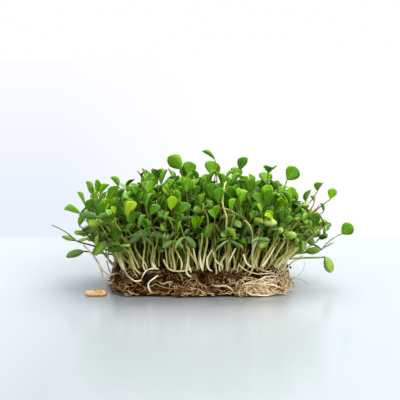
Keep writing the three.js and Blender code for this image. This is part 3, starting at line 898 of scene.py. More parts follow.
def crumbly_tree():
    """A shell roughened along its normals, with crumbs of the same stuff strewn over it."""
    tree, given, result = new_tree(
        "crumbly shell",
        [
            ("Clod size", "Float", 0.0035),
            ("Clod height", "Float", 0.0010),
            ("Hollow size", "Float", 0.012),
            ("Hollow depth", "Float", 0.0012),
            ("Crumbs per square metre", "Float", 150000.0),
            ("Least crumb", "Float", 0.00025),
            ("Largest crumb", "Float", 0.0008),
            ("Seed", "Int", 4),
            ("Material", "Material", None),
        ],
    )
    loose = add(tree, "GeometryNodeInputNamedAttribute", {"Name": "loose"}, data_type="FLOAT")
    normal = add(tree, "GeometryNodeInputNormal")
    shell = given["Geometry"]
    for size, height in (("Hollow size", "Hollow depth"), ("Clod size", "Clod height")):
        scale = add(tree, "ShaderNodeMath", {0: 1.0, 1: given[size]}, operation="DIVIDE")
        noise = add(tree, "ShaderNodeTexNoise", {"Scale": scale, "Detail": 5.0, "Roughness": 0.6})
        known = work_out(
            tree,
            {"noise": noise.outputs[0], "height": given[height], "loose": loose},
            [
                ("centred", "SUBTRACT", "noise", 0.5),
                ("wide", "MULTIPLY", "centred", 2.6),
                ("raised", "MULTIPLY", "wide", "height"),
                ("free", "MULTIPLY", "raised", "loose"),
            ],
        )
        push = add(tree, "ShaderNodeVectorMath", {0: normal, "Scale": known["free"]}, operation="SCALE")
        shell = add(tree, "GeometryNodeSetPosition", {"Geometry": shell, "Offset": push})
    smooth = add(tree, "GeometryNodeSetShadeSmooth", {"Geometry": shell})
    upper = add(tree, "ShaderNodeMath", {0: loose, 1: 0.5}, operation="GREATER_THAN")
    spots = add(
        tree,
        "GeometryNodeDistributePointsOnFaces",
        {
            "Mesh": smooth, "Selection": upper, "Density": given["Crumbs per square metre"],
            "Seed": given["Seed"],
        },
    )
    size = add(
        tree, "FunctionNodeRandomValue",
        {"Min": given["Least crumb"], "Max": given["Largest crumb"], "Seed": 11},
    )
    turned = add(
        tree, "FunctionNodeRandomValue", {"Min": (0, 0, 0), "Max": (TURN, TURN, TURN), "Seed": 12},
        data_type="FLOAT_VECTOR",
    )
    ball = add(tree, "GeometryNodeMeshIcoSphere", {"Radius": 1.0, "Subdivisions": 1})
    flattened = add(tree, "GeometryNodeTransform", {"Geometry": ball, "Scale": (1.3, 0.9, 0.7)})
    crumbs = add(
        tree, "GeometryNodeInstanceOnPoints", {"Points": spots, "Instance": flattened, "Scale": size}
    )
    rolled = add(tree, "GeometryNodeRotateInstances", {"Instances": crumbs, "Rotation": turned})
    joined = tree.nodes.new("GeometryNodeJoinGeometry")
    tree.links.new(rolled.outputs[0], joined.inputs[0])
    tree.links.new(smooth.outputs[0], joined.inputs[0])
    whole = add(tree, "GeometryNodeRealizeInstances", {"Geometry": joined})
    painted = add(tree, "GeometryNodeSetMaterial", {"Geometry": whole, "Material": given["Material"]})
    tree.links.new(painted.outputs[0], result["Geometry"])
    return tree


def slab_shell(name, length, depth, profile, sides, middle=(0, 0)):
    """A closed shell on the slab's outline. Its profile holds share, inset, height, looseness."""
    middle = at(*middle, 0)
    points = []
    loose = []
    for share, inset, z, free in profile:
        for k in range(sides):
            edge = outline(length / 2, depth / 2, TURN * k / sides)
            reach = np.linalg.norm(edge)
            points.append(tuple((middle + edge * share * (reach - inset) / reach + at(0, 0, z)) * MM))
            loose.append(free)
    faces = []
    for ring in range(len(profile) - 1):
        for k in range(sides):
            a = ring * sides + k
            b = ring * sides + (k + 1) % sides
            faces.append((a, b, b + sides, a + sides))
    foot, crown = profile[0], profile[-1]
    points += [tuple((middle + at(0, 0, z)) * MM) for z in (foot[2], crown[2])]
    loose += [foot[3], crown[3]]
    low, high = len(points) - 2, len(points) - 1
    last = (len(profile) - 1) * sides
    for k in range(sides):
        faces.append((low, (k + 1) % sides, k))
        faces.append((high, last + k, last + (k + 1) % sides))
    mesh = bpy.data.meshes.new(name)
    mesh.from_pydata(points, [], faces)
    mesh.attributes.new("loose", "FLOAT", "POINT").data.foreach_set("value", loose)
    return new_object(name, mesh)


# A slab's shell is ringed from under its foot to the middle of its top
FOOT_INSET = 0.6
FOOT_SHARES = (0.12, 0.4, 0.7, 0.9)
SIDE_RING = 0.8
TOP_RINGS = 25
PEAT_SHELL = {"down": 0.4, "edge": 1.6, "domed": 0.4, "sides": 360}
MAT_SHELL = {"smaller": 3.4, "up": 0.8, "edge": 1.2, "domed": 0.2, "sides": 300}


def slab_profile(foot, top, edge, domed):
    """From the middle of the underside outwards, up the side and in over the top."""
    profile = [(share, FOOT_INSET, foot, 0) for share in FOOT_SHARES]
    profile += [(1, FOOT_INSET, foot, 0.15)]
    steps = max(3, round((top - foot) / SIDE_RING))
    for k in range(1, steps):
        t = k / steps
        inset = edge * (1 - math.sin(math.pi * t) ** 0.5)
        profile.append((1, inset, foot + (top - foot) * t, min(1, 0.4 + 2 * t)))
    for k in range(TOP_RINGS):
        share = 1 - k / TOP_RINGS
        rise = domed * (1 - share**6)
        profile.append((share, edge, top + rise - domed, 1))
    return profile


RIM_ROOT = {
    "steps": 12, "lowest": 0.35, "over_top": 0.6, "inset": 0.9, "slope": 0.12, "slope_from": 4.5,
    "buried": 1.3,
}


# Roots along the mat's rim and over the soil
def rim_root(seed, angle, sweep, low, high, proud):
    """The middle line of a root that wanders along the rim, in and out and up and down."""
    draw = stream(seed)
    steps = RIM_ROOT["steps"]
    lift, swing = draw(0, TURN), draw(0.6, 1.8)
    push, beat = draw(0, TURN), draw(0.5, 1.5)
    slip, slide = draw(0, TURN), draw(0, 0.06)
    middle, spread = (low + high) / 2, (high - low) / 2
    slope = draw(-1, 1)
    line = []
    for i in range(steps + 1):
        t = i / steps
        turn = angle + sweep * t + slide * math.sin(TURN * t + slip)
        wave = 0.6 * math.sin(swing * TURN * t + lift) + 0.4 * slope * (2 * t - 1)
        z = max(RIM_ROOT["lowest"], min(middle + spread * wave, MEDIUM["top"] + RIM_ROOT["over_top"]))
        edge = outline(ROOT_MAT["length"] / 2, ROOT_MAT["depth"] / 2, turn, THREAD_SQUARENESS)
        inset = RIM_ROOT["inset"] + max(0, z - RIM_ROOT["slope_from"]) * RIM_ROOT["slope"]
        bulge = proud * (0.6 + 0.6 * math.sin(beat * TURN * t + push))
        buried = RIM_ROOT["buried"] * abs(2 * t - 1) ** 10
        line.append(unit(edge) * (np.linalg.norm(edge) - inset + bulge - buried) + at(0, 0, z))
    return line


def new_material(name):
    material = bpy.data.materials.new(name)
    material.use_nodes = True
    material.node_tree.nodes.clear()
    return material, material.node_tree


# The tones of a blade: its own, the pale rib and side veins, and the paler underside
VEIN_SUMS = [
    ("patch", "SUBTRACT", "mottle", 0.5),
    ("shade", "MULTIPLY_ADD", "patch", 0.35, "tone"),
    ("away", "ABSOLUTE", "side"),
    ("rib", "LESS_THAN", "away", 0.07),
    ("back", "MULTIPLY", "away", 0.3),
    ("row", "SUBTRACT", "station", "back"),
    ("turn", "MULTIPLY", "row", 56.0),
    ("vein", "SINE", "turn"),
    ("vein light", "MULTIPLY_ADD", "vein", 0.5, 0.5),
    ("vein thin", "POWER", "vein light", 6.0),
    ("vein share", "MULTIPLY", "vein thin", 0.14),
    ("lines", "MAXIMUM", "rib", "vein thin"),
    ("rib share", "MULTIPLY", "rib", 0.22),
    ("pale", "MAXIMUM", "rib share", "vein share"),
    ("beneath", "LESS_THAN", "layer", 0.0),
    ("beneath share", "MULTIPLY", "beneath", 0.55),
]


def blade_tissue(name, tones, under, rib, roughness, gloss):
    """A thin leaf: waxy above, paler beneath, with a midrib, side veins and a mottle of tone."""
    material, tree = new_material(name)
    read = {
        key: add(tree, "ShaderNodeAttribute", attribute_name=key).outputs["Fac"]
        for key in ("tone", "station", "side", "layer")
    }
    place = add(tree, "ShaderNodeTexCoord").outputs["Object"]
    mottle = add(tree, "ShaderNodeTexNoise", {"Vector": place, "Scale": 420.0, "Detail": 3.0})
    grain = add(tree, "ShaderNodeTexNoise", {"Vector": place, "Scale": 3200.0, "Detail": 2.0})
    known = work_out(tree, {**read, "mottle": mottle.outputs[0]}, VEIN_SUMS)
    tissue = add(tree, "ShaderNodeValToRGB", {"Fac": known["shade"]}, stops=tones)
    veined = add(
        tree, "ShaderNodeMix", {"Factor": known["pale"], "A": tissue, "B": colour(rib)}, data_type="RGBA"
    )
    skin = add(
        tree, "ShaderNodeMix", {"Factor": known["beneath share"], "A": veined, "B": colour(under)},
        data_type="RGBA",
    )
    relief = work_out(
        tree, {"lines": known["lines"], "grain": grain.outputs[0]},
        [("low", "MULTIPLY", "lines", -0.6), ("relief", "MULTIPLY_ADD", "grain", 0.35, "low")],
    )["relief"]
    bump = add(tree, "ShaderNodeBump", {"Height": relief, "Strength": 0.5, "Distance": 0.0001})
    surface = add(
        tree,
        "ShaderNodeBsdfPrincipled",
        {
            "Base Color": skin, "Roughness": roughness, "IOR": 1.42, "Specular IOR Level": gloss,
            "Subsurface Weight": 0.2, "Subsurface Radius": (0.5, 1.0, 0.15), "Subsurface Scale": 0.0012,
            "Normal": bump,
        },
    )
    add(tree, "ShaderNodeOutputMaterial", {"Surface": surface})
    return material


# The tones of a stem: paler below, greener above, and a blush on some
STEM_SUMS = [
    ("patch", "SUBTRACT", "mottle", 0.5),
    ("own", "MULTIPLY_ADD", "tone", 0.3, "height"),
    ("grown", "MULTIPLY_ADD", "patch", 0.3, "own"),
    ("strong", "SUBTRACT", "tone", 0.7),
    ("some", "MAXIMUM", "strong", 0.0),
    ("warm", "MULTIPLY", "some", 3.0),
    ("upper", "MULTIPLY_ADD", "height", 1.6, -0.45),
    ("blush", "MULTIPLY", "warm", "upper"),
    ("blushed", "MINIMUM", "blush", 0.75),
    ("share", "MAXIMUM", "blushed", 0.0),
]


def sprout_stem(name, tones, blush):
    """A tender stem: translucent, cream where no light reached it, green above, some blushed."""
    material, tree = new_material(name)
    read = {
        key: add(tree, "ShaderNodeAttribute", attribute_name=key).outputs["Fac"]
        for key in ("tone", "height")
    }
    place = add(tree, "ShaderNodeTexCoord").outputs["Object"]
    mottle = add(tree, "ShaderNodeTexNoise", {"Vector": place, "Scale": 260.0, "Detail": 2.0})
    known = work_out(tree, {**read, "mottle": mottle.outputs[0]}, STEM_SUMS)
    flesh = add(tree, "ShaderNodeValToRGB", {"Fac": known["grown"]}, stops=tones)
    skin = add(
        tree, "ShaderNodeMix", {"Factor": known["share"], "A": flesh, "B": colour(blush)}, data_type="RGBA"
    )
    surface = add(
        tree,
        "ShaderNodeBsdfPrincipled",
        {
            "Base Color": skin, "Roughness": 0.4, "IOR": 1.4, "Specular IOR Level": 0.3,
            "Subsurface Weight": 0.25, "Subsurface Radius": (1.0, 0.9, 0.5), "Subsurface Scale": 0.0010,
        },
    )
    add(tree, "ShaderNodeOutputMaterial", {"Surface": surface})
    return material


def matted(name, tones, coarse, fine, roughness, depth, gloss, stretch=(1, 1, 1), own=0.0):
    """A rough natural stuff whose tones follow a coarse and a fine mottle, given in millimetres.
    A strand's own tone, where it has one, lightens or darkens it as a whole."""
    material, tree = new_material(name)
    tone = add(tree, "ShaderNodeAttribute", attribute_name="tone").outputs["Fac"]
    place = add(tree, "ShaderNodeTexCoord").outputs["Object"]
    drawn = add(tree, "ShaderNodeMapping", {"Vector": place, "Scale": stretch})
    lumps = add(
        tree, "ShaderNodeTexNoise",
        {"Vector": drawn, "Scale": 1000 / coarse, "Detail": 6.0, "Roughness": 0.65},
    )
    grit = add(
        tree, "ShaderNodeTexNoise", {"Vector": drawn, "Scale": 1000 / fine, "Detail": 3.0, "Roughness": 0.7}
    )
    known = work_out(
        tree,
        {"lumps": lumps.outputs[0], "grit": grit.outputs[0], "tone": tone},
        [
            ("coarse part", "MULTIPLY", "lumps", 0.55),
            ("both", "MULTIPLY_ADD", "grit", 0.45, "coarse part"),
            ("centred", "SUBTRACT", "both", 0.5),
            ("spread", "MULTIPLY_ADD", "centred", 2.6 - 1.6 * own, 0.5 - 0.5 * own),
            ("shade", "MULTIPLY_ADD", "tone", own, "spread"),
        ],
    )
    stuff = add(tree, "ShaderNodeValToRGB", {"Fac": known["shade"]}, stops=tones)
    bump = add(tree, "ShaderNodeBump", {"Height": known["both"], "Strength": 0.9, "Distance": depth * MM})
    surface = add(
        tree, "ShaderNodeBsdfPrincipled",
        {"Base Color": stuff, "Roughness": roughness, "Specular IOR Level": gloss, "Normal": bump},
    )
    add(tree, "ShaderNodeOutputMaterial", {"Surface": surface})
    return material


# Clover's true leaf: a bright yellow-green, waxy enough to catch the light. Its darkest tones are mostly
# painted shade, given to leaves deep inside the canopy
LEAF_TISSUE = blade_tissue(
    "clover_leaf",
    [(0, "#163200"), (0.3, "#457600"), (0.65, "#689a00"), (0.93, "#86aa0a"), (1, "#98a224")],
    under="#86aa48", rib="#a8cc50", roughness=0.42, gloss=0.22,
)
# The seed leaf is thicker and bluer, with a bloom that dulls it. Its darkest tones too are mostly painted
# shade inside the canopy
SEED_LEAF_TISSUE = blade_tissue(
    "clover_seed_leaf", [(0, "#162e04"), (0.3, "#557a1a"), (0.7, "#8aaa44"), (1, "#b6c678")],
    under="#86a470", rib="#98ba74", roughness=0.5, gloss=0.25,
)
# Stems are cream at the soil and pale green above it. The dark olive end is painted shade, reached mostly
# by stems inside the canopy
STEM_FLESH = sprout_stem(
    "clover_stem",
    [(0, "#f8f0da"), (0.18, "#f0e8c8"), (0.38, "#d8d096"), (0.64, "#a2a650"), (1, "#4a5e1c")],
    blush="#9c6450",
)
# Moist growing medium: dark peat with paler fibres and specks
MOIST_PEAT = matted(
    "moist_peat",
    [(0, "#080401"), (0.35, "#251706"), (0.6, "#4a3418"), (0.85, "#7c6234"), (1, "#ac9462")],
    coarse=4.0, fine=0.9, roughness=0.92, depth=0.6, gloss=0.1,
)
# The mat's core: roots and peat pressed together, in the shade of the threads on it
ROOT_MATTING = matted(
    "root_matting", [(0, "#0c0500"), (0.35, "#2c1a06"), (0.65, "#664720"), (1, "#b08c5e")], coarse=5.0,
    fine=0.7, roughness=0.88, depth=0.5, gloss=0.1, stretch=(0.5, 0.5, 1.6),
)
# Roots are pale threads, some tan or brown where they have dried
ROOT_THREAD = matted(
    "root_thread",
    [(0, "#38240e"), (0.25, "#72512c"), (0.5, "#b28d5a"), (0.75, "#dfc698"), (1, "#faf0da")],
    coarse=9.0, fine=1.6, roughness=0.6, depth=0.05, gloss=0.2, own=0.85,
)
ROOT_HAIR = matted(
    "root_hair", [(0, "#4c3214"), (0.4, "#94723e"), (0.75, "#cab080"), (1, "#f0e6cc")], coarse=9.0,
    fine=1.6, roughness=0.6, depth=0.03, gloss=0.2, own=0.85,
)
# Seed hulls that still cling: hard, thin and brown
SEED_HULL = matted(
    "seed_hull", [(0, "#2c1406"), (0.5, "#5e360f"), (1, "#96601c")], coarse=2.5, fine=0.5,
    roughness=0.4, depth=0.08, gloss=0.4,
)
# A dry flake of peeled root skin, thin and peach-coloured
PEELED_SKIN = matted(
    "peeled_skin", [(0, "#b0865a"), (0.5, "#e0b98c"), (1, "#f4dab2")], coarse=3.0, fine=0.6,
    roughness=0.7, depth=0.12, gloss=0.2,
)

BODY = "root"


def take_part(piece, slot, *replaced):
    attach(piece, BODY)
    if replaced:
        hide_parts(*replaced)


# Seedlings, one piece for each clump of the construction
shoots = shoot_tree()
BLADE_VALUES = (
    "peak", "length", "blunt", "kind", "arch", "width", "fold", "radius", "root", "grid", "face", "along"
)
for k, clump in enumerate(plants):
    guide = Guide()
    for plant in clump:
        plant_guide(guide, plant)
    piece = keep_mesh(
        f"greens_{k + 1:02d}", guide.finish("guide"), shoots,
        {"Stem": STEM_FLESH, "Seed leaf": SEED_LEAF_TISSUE, "Leaf": LEAF_TISSUE}, BLADE_VALUES,
    )
    take_part(piece, "seedling", f"seedlings_{k + 1:02d}")

# Growing medium
crumbly = crumbly_tree()
slab = keep_mesh(
    "peat_slab",
    slab_shell(
        "guide",
        MEDIUM["length"],
        MEDIUM["depth"],
        slab_profile(
            MEDIUM["foot"] - PEAT_SHELL["down"], MEDIUM["top"], PEAT_SHELL["edge"], PEAT_SHELL["domed"]
        ),
        PEAT_SHELL["sides"],
    ),
    crumbly,
    {"Material": MOIST_PEAT, "Hollow size": 0.014, "Hollow depth": 0.0024},
    ("loose",),
)
take_part(slab, "growing_medium", "growing_medium")

# Root mat: a pressed core with threads wound round its rim
mat = keep_mesh(
    "root_mat_core",
    slab_shell(
        "guide", ROOT_MAT["length"] - MAT_SHELL["smaller"], ROOT_MAT["depth"] - MAT_SHELL["smaller"],
        slab_profile(0, ROOT_MAT["height"] + MAT_SHELL["up"], MAT_SHELL["edge"], MAT_SHELL["domed"]),
        MAT_SHELL["sides"],
    ),
    crumbly,
    {
        "Material": ROOT_MATTING, "Clod size": 0.0026, "Clod height": 0.0011, "Hollow size": 0.012,
        "Hollow depth": 0.0024, "Crumbs per square metre": 60000.0,
    },
    ("loose",),
)
take_part(mat, "root", "root_mat")

strands = strand_tree()


def wind(guide, seed, count, sweeps, lows, climbs, prouds, radii, tones):
    """Winds threads round the rim, each with a sweep, height, bulge, thickness and tone of its own.
    They gather in patches, and are thickest and palest towards the right-hand end of the front."""
    for k in range(count):
        draw = stream(seed + k)
        angle = draw(0, TURN)
        sweep = draw(*sweeps) * (1 if draw(0, 1) > 0.5 else -1)
        low = draw(*lows)
        line = rim_root(seed + LINE_SEEDS + k, angle, sweep, low, low + draw(*climbs), draw(*prouds))
        radius = draw(*radii)
        tone = draw(*tones)
        middle = angle + sweep / 2
        gathered = math.sin(4 * middle + 2) + math.sin(9 * middle + 5) + math.sin(17 * middle)
        pale = max(0, math.cos(middle - PALE_SIDE)) ** 8
        if draw(0, 1) > PATCHES["kept"] + PATCHES["gathered"] * gathered + PATCHES["pale"] * pale:
            continue
        tone += PATCHES["tone_wave"] * math.sin(6 * middle + 1) + PATCHES["tone_pale"] * pale
        guide.line(line, [radius] * len(line), tone=tone)


def face_y(x):
    """How far forward the slab's front stands at a place along it."""
    share = min(0.999, abs(2 * x / MEDIUM["length"]))
    return -MEDIUM["depth"] / 2 * (1 - share**SQUARENESS) ** (1 / SQUARENESS)


def lay_on_front(guide, strands_seen, value):
    """Lays strands on the front, each a thickness, a colour value, a bulge and its places.
    An end that is as low as the slab goes into it."""
    for radius, number, proud, places in strands_seen:
        line = [at(x, face_y(x) - proud, z) for x, z in places]
        for end in (0, -1):
            if line[end][2] < MEDIUM["top"] + 1:
                line[end][1] = face_y(line[end][0]) + BURIED_END
        guide.line(line, [radius] * len(line), **{value: number})


# Threads and hairs in groups: seed, number of threads, and the ranges of their sweeps, low ends,
# climbs, bulges, thicknesses and tones
THREADS = [
    (20000, 330, (0.08, 0.36), (0.1, 2.2), (1, 7), (0, 1.5), (0.1, 0.24), (-0.2, 0.7)),
    (24000, 360, (0.02, 0.14), (0.3, 6), (2.5, 9), (-0.3, 1.3), (0.09, 0.2), (-0.2, 0.75)),
    (21000, 60, (0.1, 0.3), (0.3, 2.2), (1.5, 6.5), (0.6, 1.8), (0.22, 0.36), (0.1, 0.8)),
    (27000, 150, (0.05, 0.22), (0.2, 1.2), (0.3, 3), (1.2, 3.6), (0.1, 0.24), (0, 0.9)),
]
HAIRS = [
    (23000, 900, (0.03, 0.2), (1.5, 11.5), (0.5, 6), (-0.9, 0.9), (0.05, 0.12), (-0.1, 1)),
    (28000, 420, (0.02, 0.12), (9.5, 13), (1, 5), (-0.6, 1.3), (0.06, 0.12), (0, 0.9)),
]
# Cream loops gathered at the right-hand end of the front
LOOPS = {
    "seed": 22000, "count": 90, "points": 9, "middle": (24, 45), "low": (0.4, 6), "wide": (2, 8),
    "tall": (1.2, 5.5), "proud": (0.4, 2.8), "first": (-0.7, 0.7), "bend": (1, 1.7), "curl": 0.05,
    "right_end": 45.4, "tucked": 1.5, "radius": (0.12, 0.34), "tone": (0.55, 1.15),
}
LOWEST = 0.4
# How threads are kept more often in patches and on the pale side, and are lighter there
PATCHES = {"kept": 0.55, "gathered": 0.3, "pale": 0.3, "tone_wave": 0.08, "tone_pale": 0.55}
LINE_SEEDS = 5000
STRAND_LOOK = {"radius": 0.26, "tone": 0.15, "tone_step": 0.03}
BURIED_END = 4
PALE_SIDE = math.atan2(-28, 42)
# The front's own strands: thickness, tone or height for the colour, bulge, and places along and up
FRONT_ROOTS = [
    (0.38, 0.75, 1.6, [(21, 17), (25, 14), (31, 12), (38, 12), (42, 10)]),
    (0.36, 0.7, 1.4, [(30, 16), (33, 14), (37, 13), (41, 13)]),
    (0.36, 0.8, 0.9, [(21, 18), (20, 14), (20, 10)]),
    (0.4, 0.85, 2.2, [(4, 6), (9, 6), (14, 6), (17, 4), (19, 0.4)]),
    (0.28, 0.9, 2.0, [(-4, 0.4), (-1, 1.2), (2, 1), (4, 0.4)]),
    (0.26, 0.95, 1.4, [(-9, 7), (-5, 5), (0, 4), (3, 1), (4, 0.4)]),
    (0.28, 0.9, 1.6, [(-45, 1), (-41, 4), (-36, 5), (-33, 6)]),
    (0.32, 0.7, 1.2, [(-51, 14), (-49, 9), (-46, 9), (-43, 10)]),
    (0.28, 0.85, 1.4, [(-23, 9), (-20, 7), (-16, 8), (-12, 6)]),
    (0.34, 0.8, 1.8, [(20, 8), (22, 9), (24, 7), (25, 3), (27, 1)]),
    (0.4, 0.85, 2.4, [(26, 5), (29, 7), (33, 7), (36, 4), (37, 2)]),
    (0.44, 1.0, 2.8, [(25, 5), (26, 2), (30, 1), (37, 0.5), (43, 2)]),
    (0.4, 0.95, 2.4, [(28, 0.5), (35, 0.5), (41, 1), (44, 3)]),
    (0.4, 1.0, 2.6, [(33, 4), (37, 6), (41, 5), (45, 6)]),
]
FRONT_STEMS = [
    (0.48, 0.1, 1.6, [(-42, 24), (-41, 17), (-39, 12), (-36, 9), (-33, 8), (-28, 9)]),
    (0.4, 0.12, 1.8, [(-31, 8), (-30, 11), (-28, 14), (-25, 15), (-21, 14)]),
    (0.46, 0.05, 2.2, [(-20, 12), (-24, 10), (-27, 7), (-26, 3), (-24, 1)]),
    (0.42, 0.1, 1.2, [(-25, 18), (-23, 15), (-21, 14)]),
    (0.42, 0.4, 1.4, [(-19, 20), (-17, 16), (-14, 14), (-8, 14), (-1, 15)]),
    (0.42, 0.75, 1.6, [(-13, 14), (-10, 12), (-9, 9), (-11, 6)]),
    (0.5, 0.3, 1.6, [(-6, 32), (-6, 20), (-7, 14), (-5, 11), (-2, 10)]),
    (0.5, 0.15, 1.4, [(-4, 30), (-2, 20), (0, 13)]),
    (0.54, 0.15, 1.6, [(0, 24), (1, 16), (3, 11)]),
    (0.48, 0.2, 1.6, [(7, 26), (4, 20), (5, 15), (9, 12)]),
    (0.48, 0.15, 1.8, [(7, 25), (9, 19), (13, 15)]),
    (0.5, 0.2, 1.4, [(19, 26), (16, 20), (14, 14)]),
    (0.46, 0.1, 2.0, [(23, 23), (25, 18), (28, 16), (31, 15)]),
    (0.7, 0.08, 2.2, [(33, 38), (30, 30), (28, 24), (28, 15)]),
    (0.48, 0.2, 1.4, [(41, 28), (37, 21), (33, 16)]),
]
# Sprouts that hang free of the slab: thickness, height for the colour, and places in all directions
FREE_SPROUTS = [
    (0.5, 0.3, [(-63, -12, 24), (-56, -16, 17), (-53, -18, 11), (-52, -18, 6), (-47, -18, 4)]),
    (0.42, 0.2, [(-58, -20, 21), (-53, -20, 13), (-49, -19, 9), (-44, -19, 10)]),
    (0.44, 0.4, [(64, -12, 17), (57, -12, 17), (51, -12, 15), (46, -12, 9)]),
    (0.44, 0.1, [(49, -20, 22), (47, -20, 16), (43, -20, 8)]),
    (0.44, 0.1, [(56, -16, 19), (51, -16, 16), (44, -16, 7)]),
    (
        0.5, 0.55,
        [(12, -21, 52), (14, -28, 60), (13, -36, 59), (12, -41, 51), (14, -42, 44), (14, -40, 36),
         (17, -32, 30)],
    ),
    (0.42, 0.5, [(7, -22, 46), (15, -36, 47), (23, -37, 42), (27, -36, 37), (28, -35, 28), (28, -33, 16)]),
]
LOOSE_HAIRS = [
    (0.12, 0.6, [(46, -18, 8), (52, -18, 7), (57, -18, 5), (59, -18, 3)]),
    (0.12, 0.6, [(57, -16, 16), (56, -16, 11), (52, -16, 7), (46, -16, 6)]),
]

guide = Guide()
for group in THREADS:
    wind(guide, *group)
for k in range(STRAND["count"]):
    radii = [STRAND_LOOK["radius"]] * (STRAND["steps"] + 1)
    guide.line(strand_line(k), radii, tone=STRAND_LOOK["tone"] + STRAND_LOOK["tone_step"] * k)
lay_on_front(guide, FRONT_ROOTS, "tone")
for k in range(LOOPS["count"]):
    draw = stream(LOOPS["seed"] + k)
    middle, low = draw(*LOOPS["middle"]), draw(*LOOPS["low"])
    wide, tall = draw(*LOOPS["wide"]), draw(*LOOPS["tall"])
    proud, first, bend = draw(*LOOPS["proud"]), draw(*LOOPS["first"]), draw(*LOOPS["bend"])
    line = []
    for i in range(LOOPS["points"]):
        turn = math.pi * bend * i / (LOOPS["points"] - 1) + first
        x = min(middle + wide * math.cos(turn) * (1 - LOOPS["curl"] * i), LOOPS["right_end"])
        line.append(at(x, face_y(x) - proud, max(LOWEST, low + tall * math.sin(turn))))
    line[0][1] += LOOPS["tucked"]
    line[-1][1] += LOOPS["tucked"]
    radius = draw(*LOOPS["radius"])
    guide.line(line, [radius] * LOOPS["points"], tone=draw(*LOOPS["tone"]))
roots = keep_mesh("rim_roots", guide.finish("guide"), strands, {"Material": ROOT_THREAD}, ("radius",))
take_part(roots, "root")

guide = Guide()
for group in HAIRS:
    wind(guide, *group)
for radius, tone, places in LOOSE_HAIRS:
    guide.line([at(*place) for place in places], [radius] * len(places), tone=tone)
hairs = keep_mesh(
    "root_hairs", guide.finish("guide"), strands, {"Material": ROOT_HAIR, "Sides": 3}, ("radius",)
)
take_part(hairs, "root")

# Stems that lie over the front, and sprouts that hang free
guide = Guide()
lay_on_front(guide, FRONT_STEMS, "height")
for radius, height, places in FREE_SPROUTS:
    guide.line([at(*place) for place in places], [radius] * len(places), height=height)
sprouts = keep_mesh(
    "fallen_stems", guide.finish("guide"), strands,
    {"Material": STEM_FLESH, "Sides": 7, "Step": 0.0007}, ("radius",),
)
take_part(sprouts, "seedling")


def hull_tree():
    """A small hollow-looking seed hull on each point of the guide, turned as the point says."""
    tree, given, result = new_tree(
        "seed hulls", [("Length", "Float", 0.0024), ("Rings", "Int", 6), ("Material", "Material", None)]
    )
    turned = add(tree, "GeometryNodeInputNamedAttribute", {"Name": "turned"}, data_type="FLOAT_VECTOR")
    half = add(tree, "ShaderNodeMath", {0: given["Length"], 1: 0.5}, operation="MULTIPLY")
    ball = add(tree, "GeometryNodeMeshUVSphere", {"Segments": 9, "Rings": given["Rings"], "Radius": half})
    hull = add(tree, "GeometryNodeTransform", {"Geometry": ball, "Scale": (1.0, 0.62, 0.4)})
    spots = add(tree, "GeometryNodeMeshToPoints", {"Mesh": given["Geometry"]})
    size = add(tree, "GeometryNodeInputNamedAttribute", {"Name": "size"}, data_type="FLOAT")
    set_out = add(
        tree, "GeometryNodeInstanceOnPoints",
        {"Points": spots, "Instance": hull, "Rotation": turned, "Scale": size},
    )
    return finish_tree(tree, set_out, given["Material"], result)


# Seed hulls, some still on the tips of seed leaves and some on the slab's front
HULL = {"seed": 26000, "proud": 3, "on_front": 1.5, "on_tip": 0.9, "station": 0.97, "vary": (0.8, 1.2)}
HULLS_ON_FRONT = [(-32, 4), (-31, 6), (-12, 1), (-10, 1.5), (23, 25), (24, 2), (42, 6), (49, 12)]
guide = Guide()
spots = [(at(x, face_y(x) - HULL["proud"], z), HULL["on_front"]) for x, z in HULLS_ON_FRONT]
for clump in plants:
    tips = [blade_point(plant["pair"][0], HULL["station"], 0) for plant in clump if plant["pair"]]
    spots += [(tip, HULL["on_tip"]) for tip in tips[2:3]]
for k, (spot, size) in enumerate(spots):
    draw = stream(HULL["seed"] + k)
    turned = at(draw(0, TURN), draw(0, TURN), draw(0, TURN))
    guide.put(spot, turned=turned, size=size * draw(*HULL["vary"]))
hulls = keep_mesh(
    "seed_hulls", guide.finish("guide"), hull_tree(), {"Material": SEED_HULL}, ("turned", "size")
)
take_part(hulls, "seedling")

# A dry flake that has come off the left-hand end and lies on the table
FLAKE = {
    "length": 11, "depth": 11, "middle": (-55.2, -26), "edge": 0.4, "thickness": 1.9, "rings": 8,
    "turn": 0.17, "sides": 60,
}


def flake_ring(turn):
    """A ring of the flake's low dome: share, inset, height and looseness."""
    return math.cos(turn), 0, FLAKE["edge"] + FLAKE["thickness"] * math.sin(turn) ** 0.7, 1


dome = [flake_ring(FLAKE["turn"] * (k + 1)) for k in range(FLAKE["rings"])]
flake = keep_mesh(
    "root_flake",
    slab_shell(
        "guide", FLAKE["length"], FLAKE["depth"], [(0.5, 0, 0, 0), (1, 0.2, 0, 0)] + dome,
        FLAKE["sides"], FLAKE["middle"],
    ),
    crumbly,
    {
        "Material": PEELED_SKIN, "Clod size": 0.0022, "Clod height": 0.0013, "Hollow size": 0.006,
        "Hollow depth": 0.0020, "Crumbs per square metre": 0.0,
    },
    ("loose",),
)
take_part(flake, "root")

# The camera, and its distances along Y to the block and to the table's end
VIEW = {
    "distance": 0.7, "tilt": math.radians(8), "aim": (0.0003, 0, 0.047), "lens": 114.6, "sensor": 36,
    "reach": 10,
}
TABLE_END = (0.150, 0.162)
CAMERA_TO_BLOCK = 0.693
CAMERA_TO_EDGE = 0.849

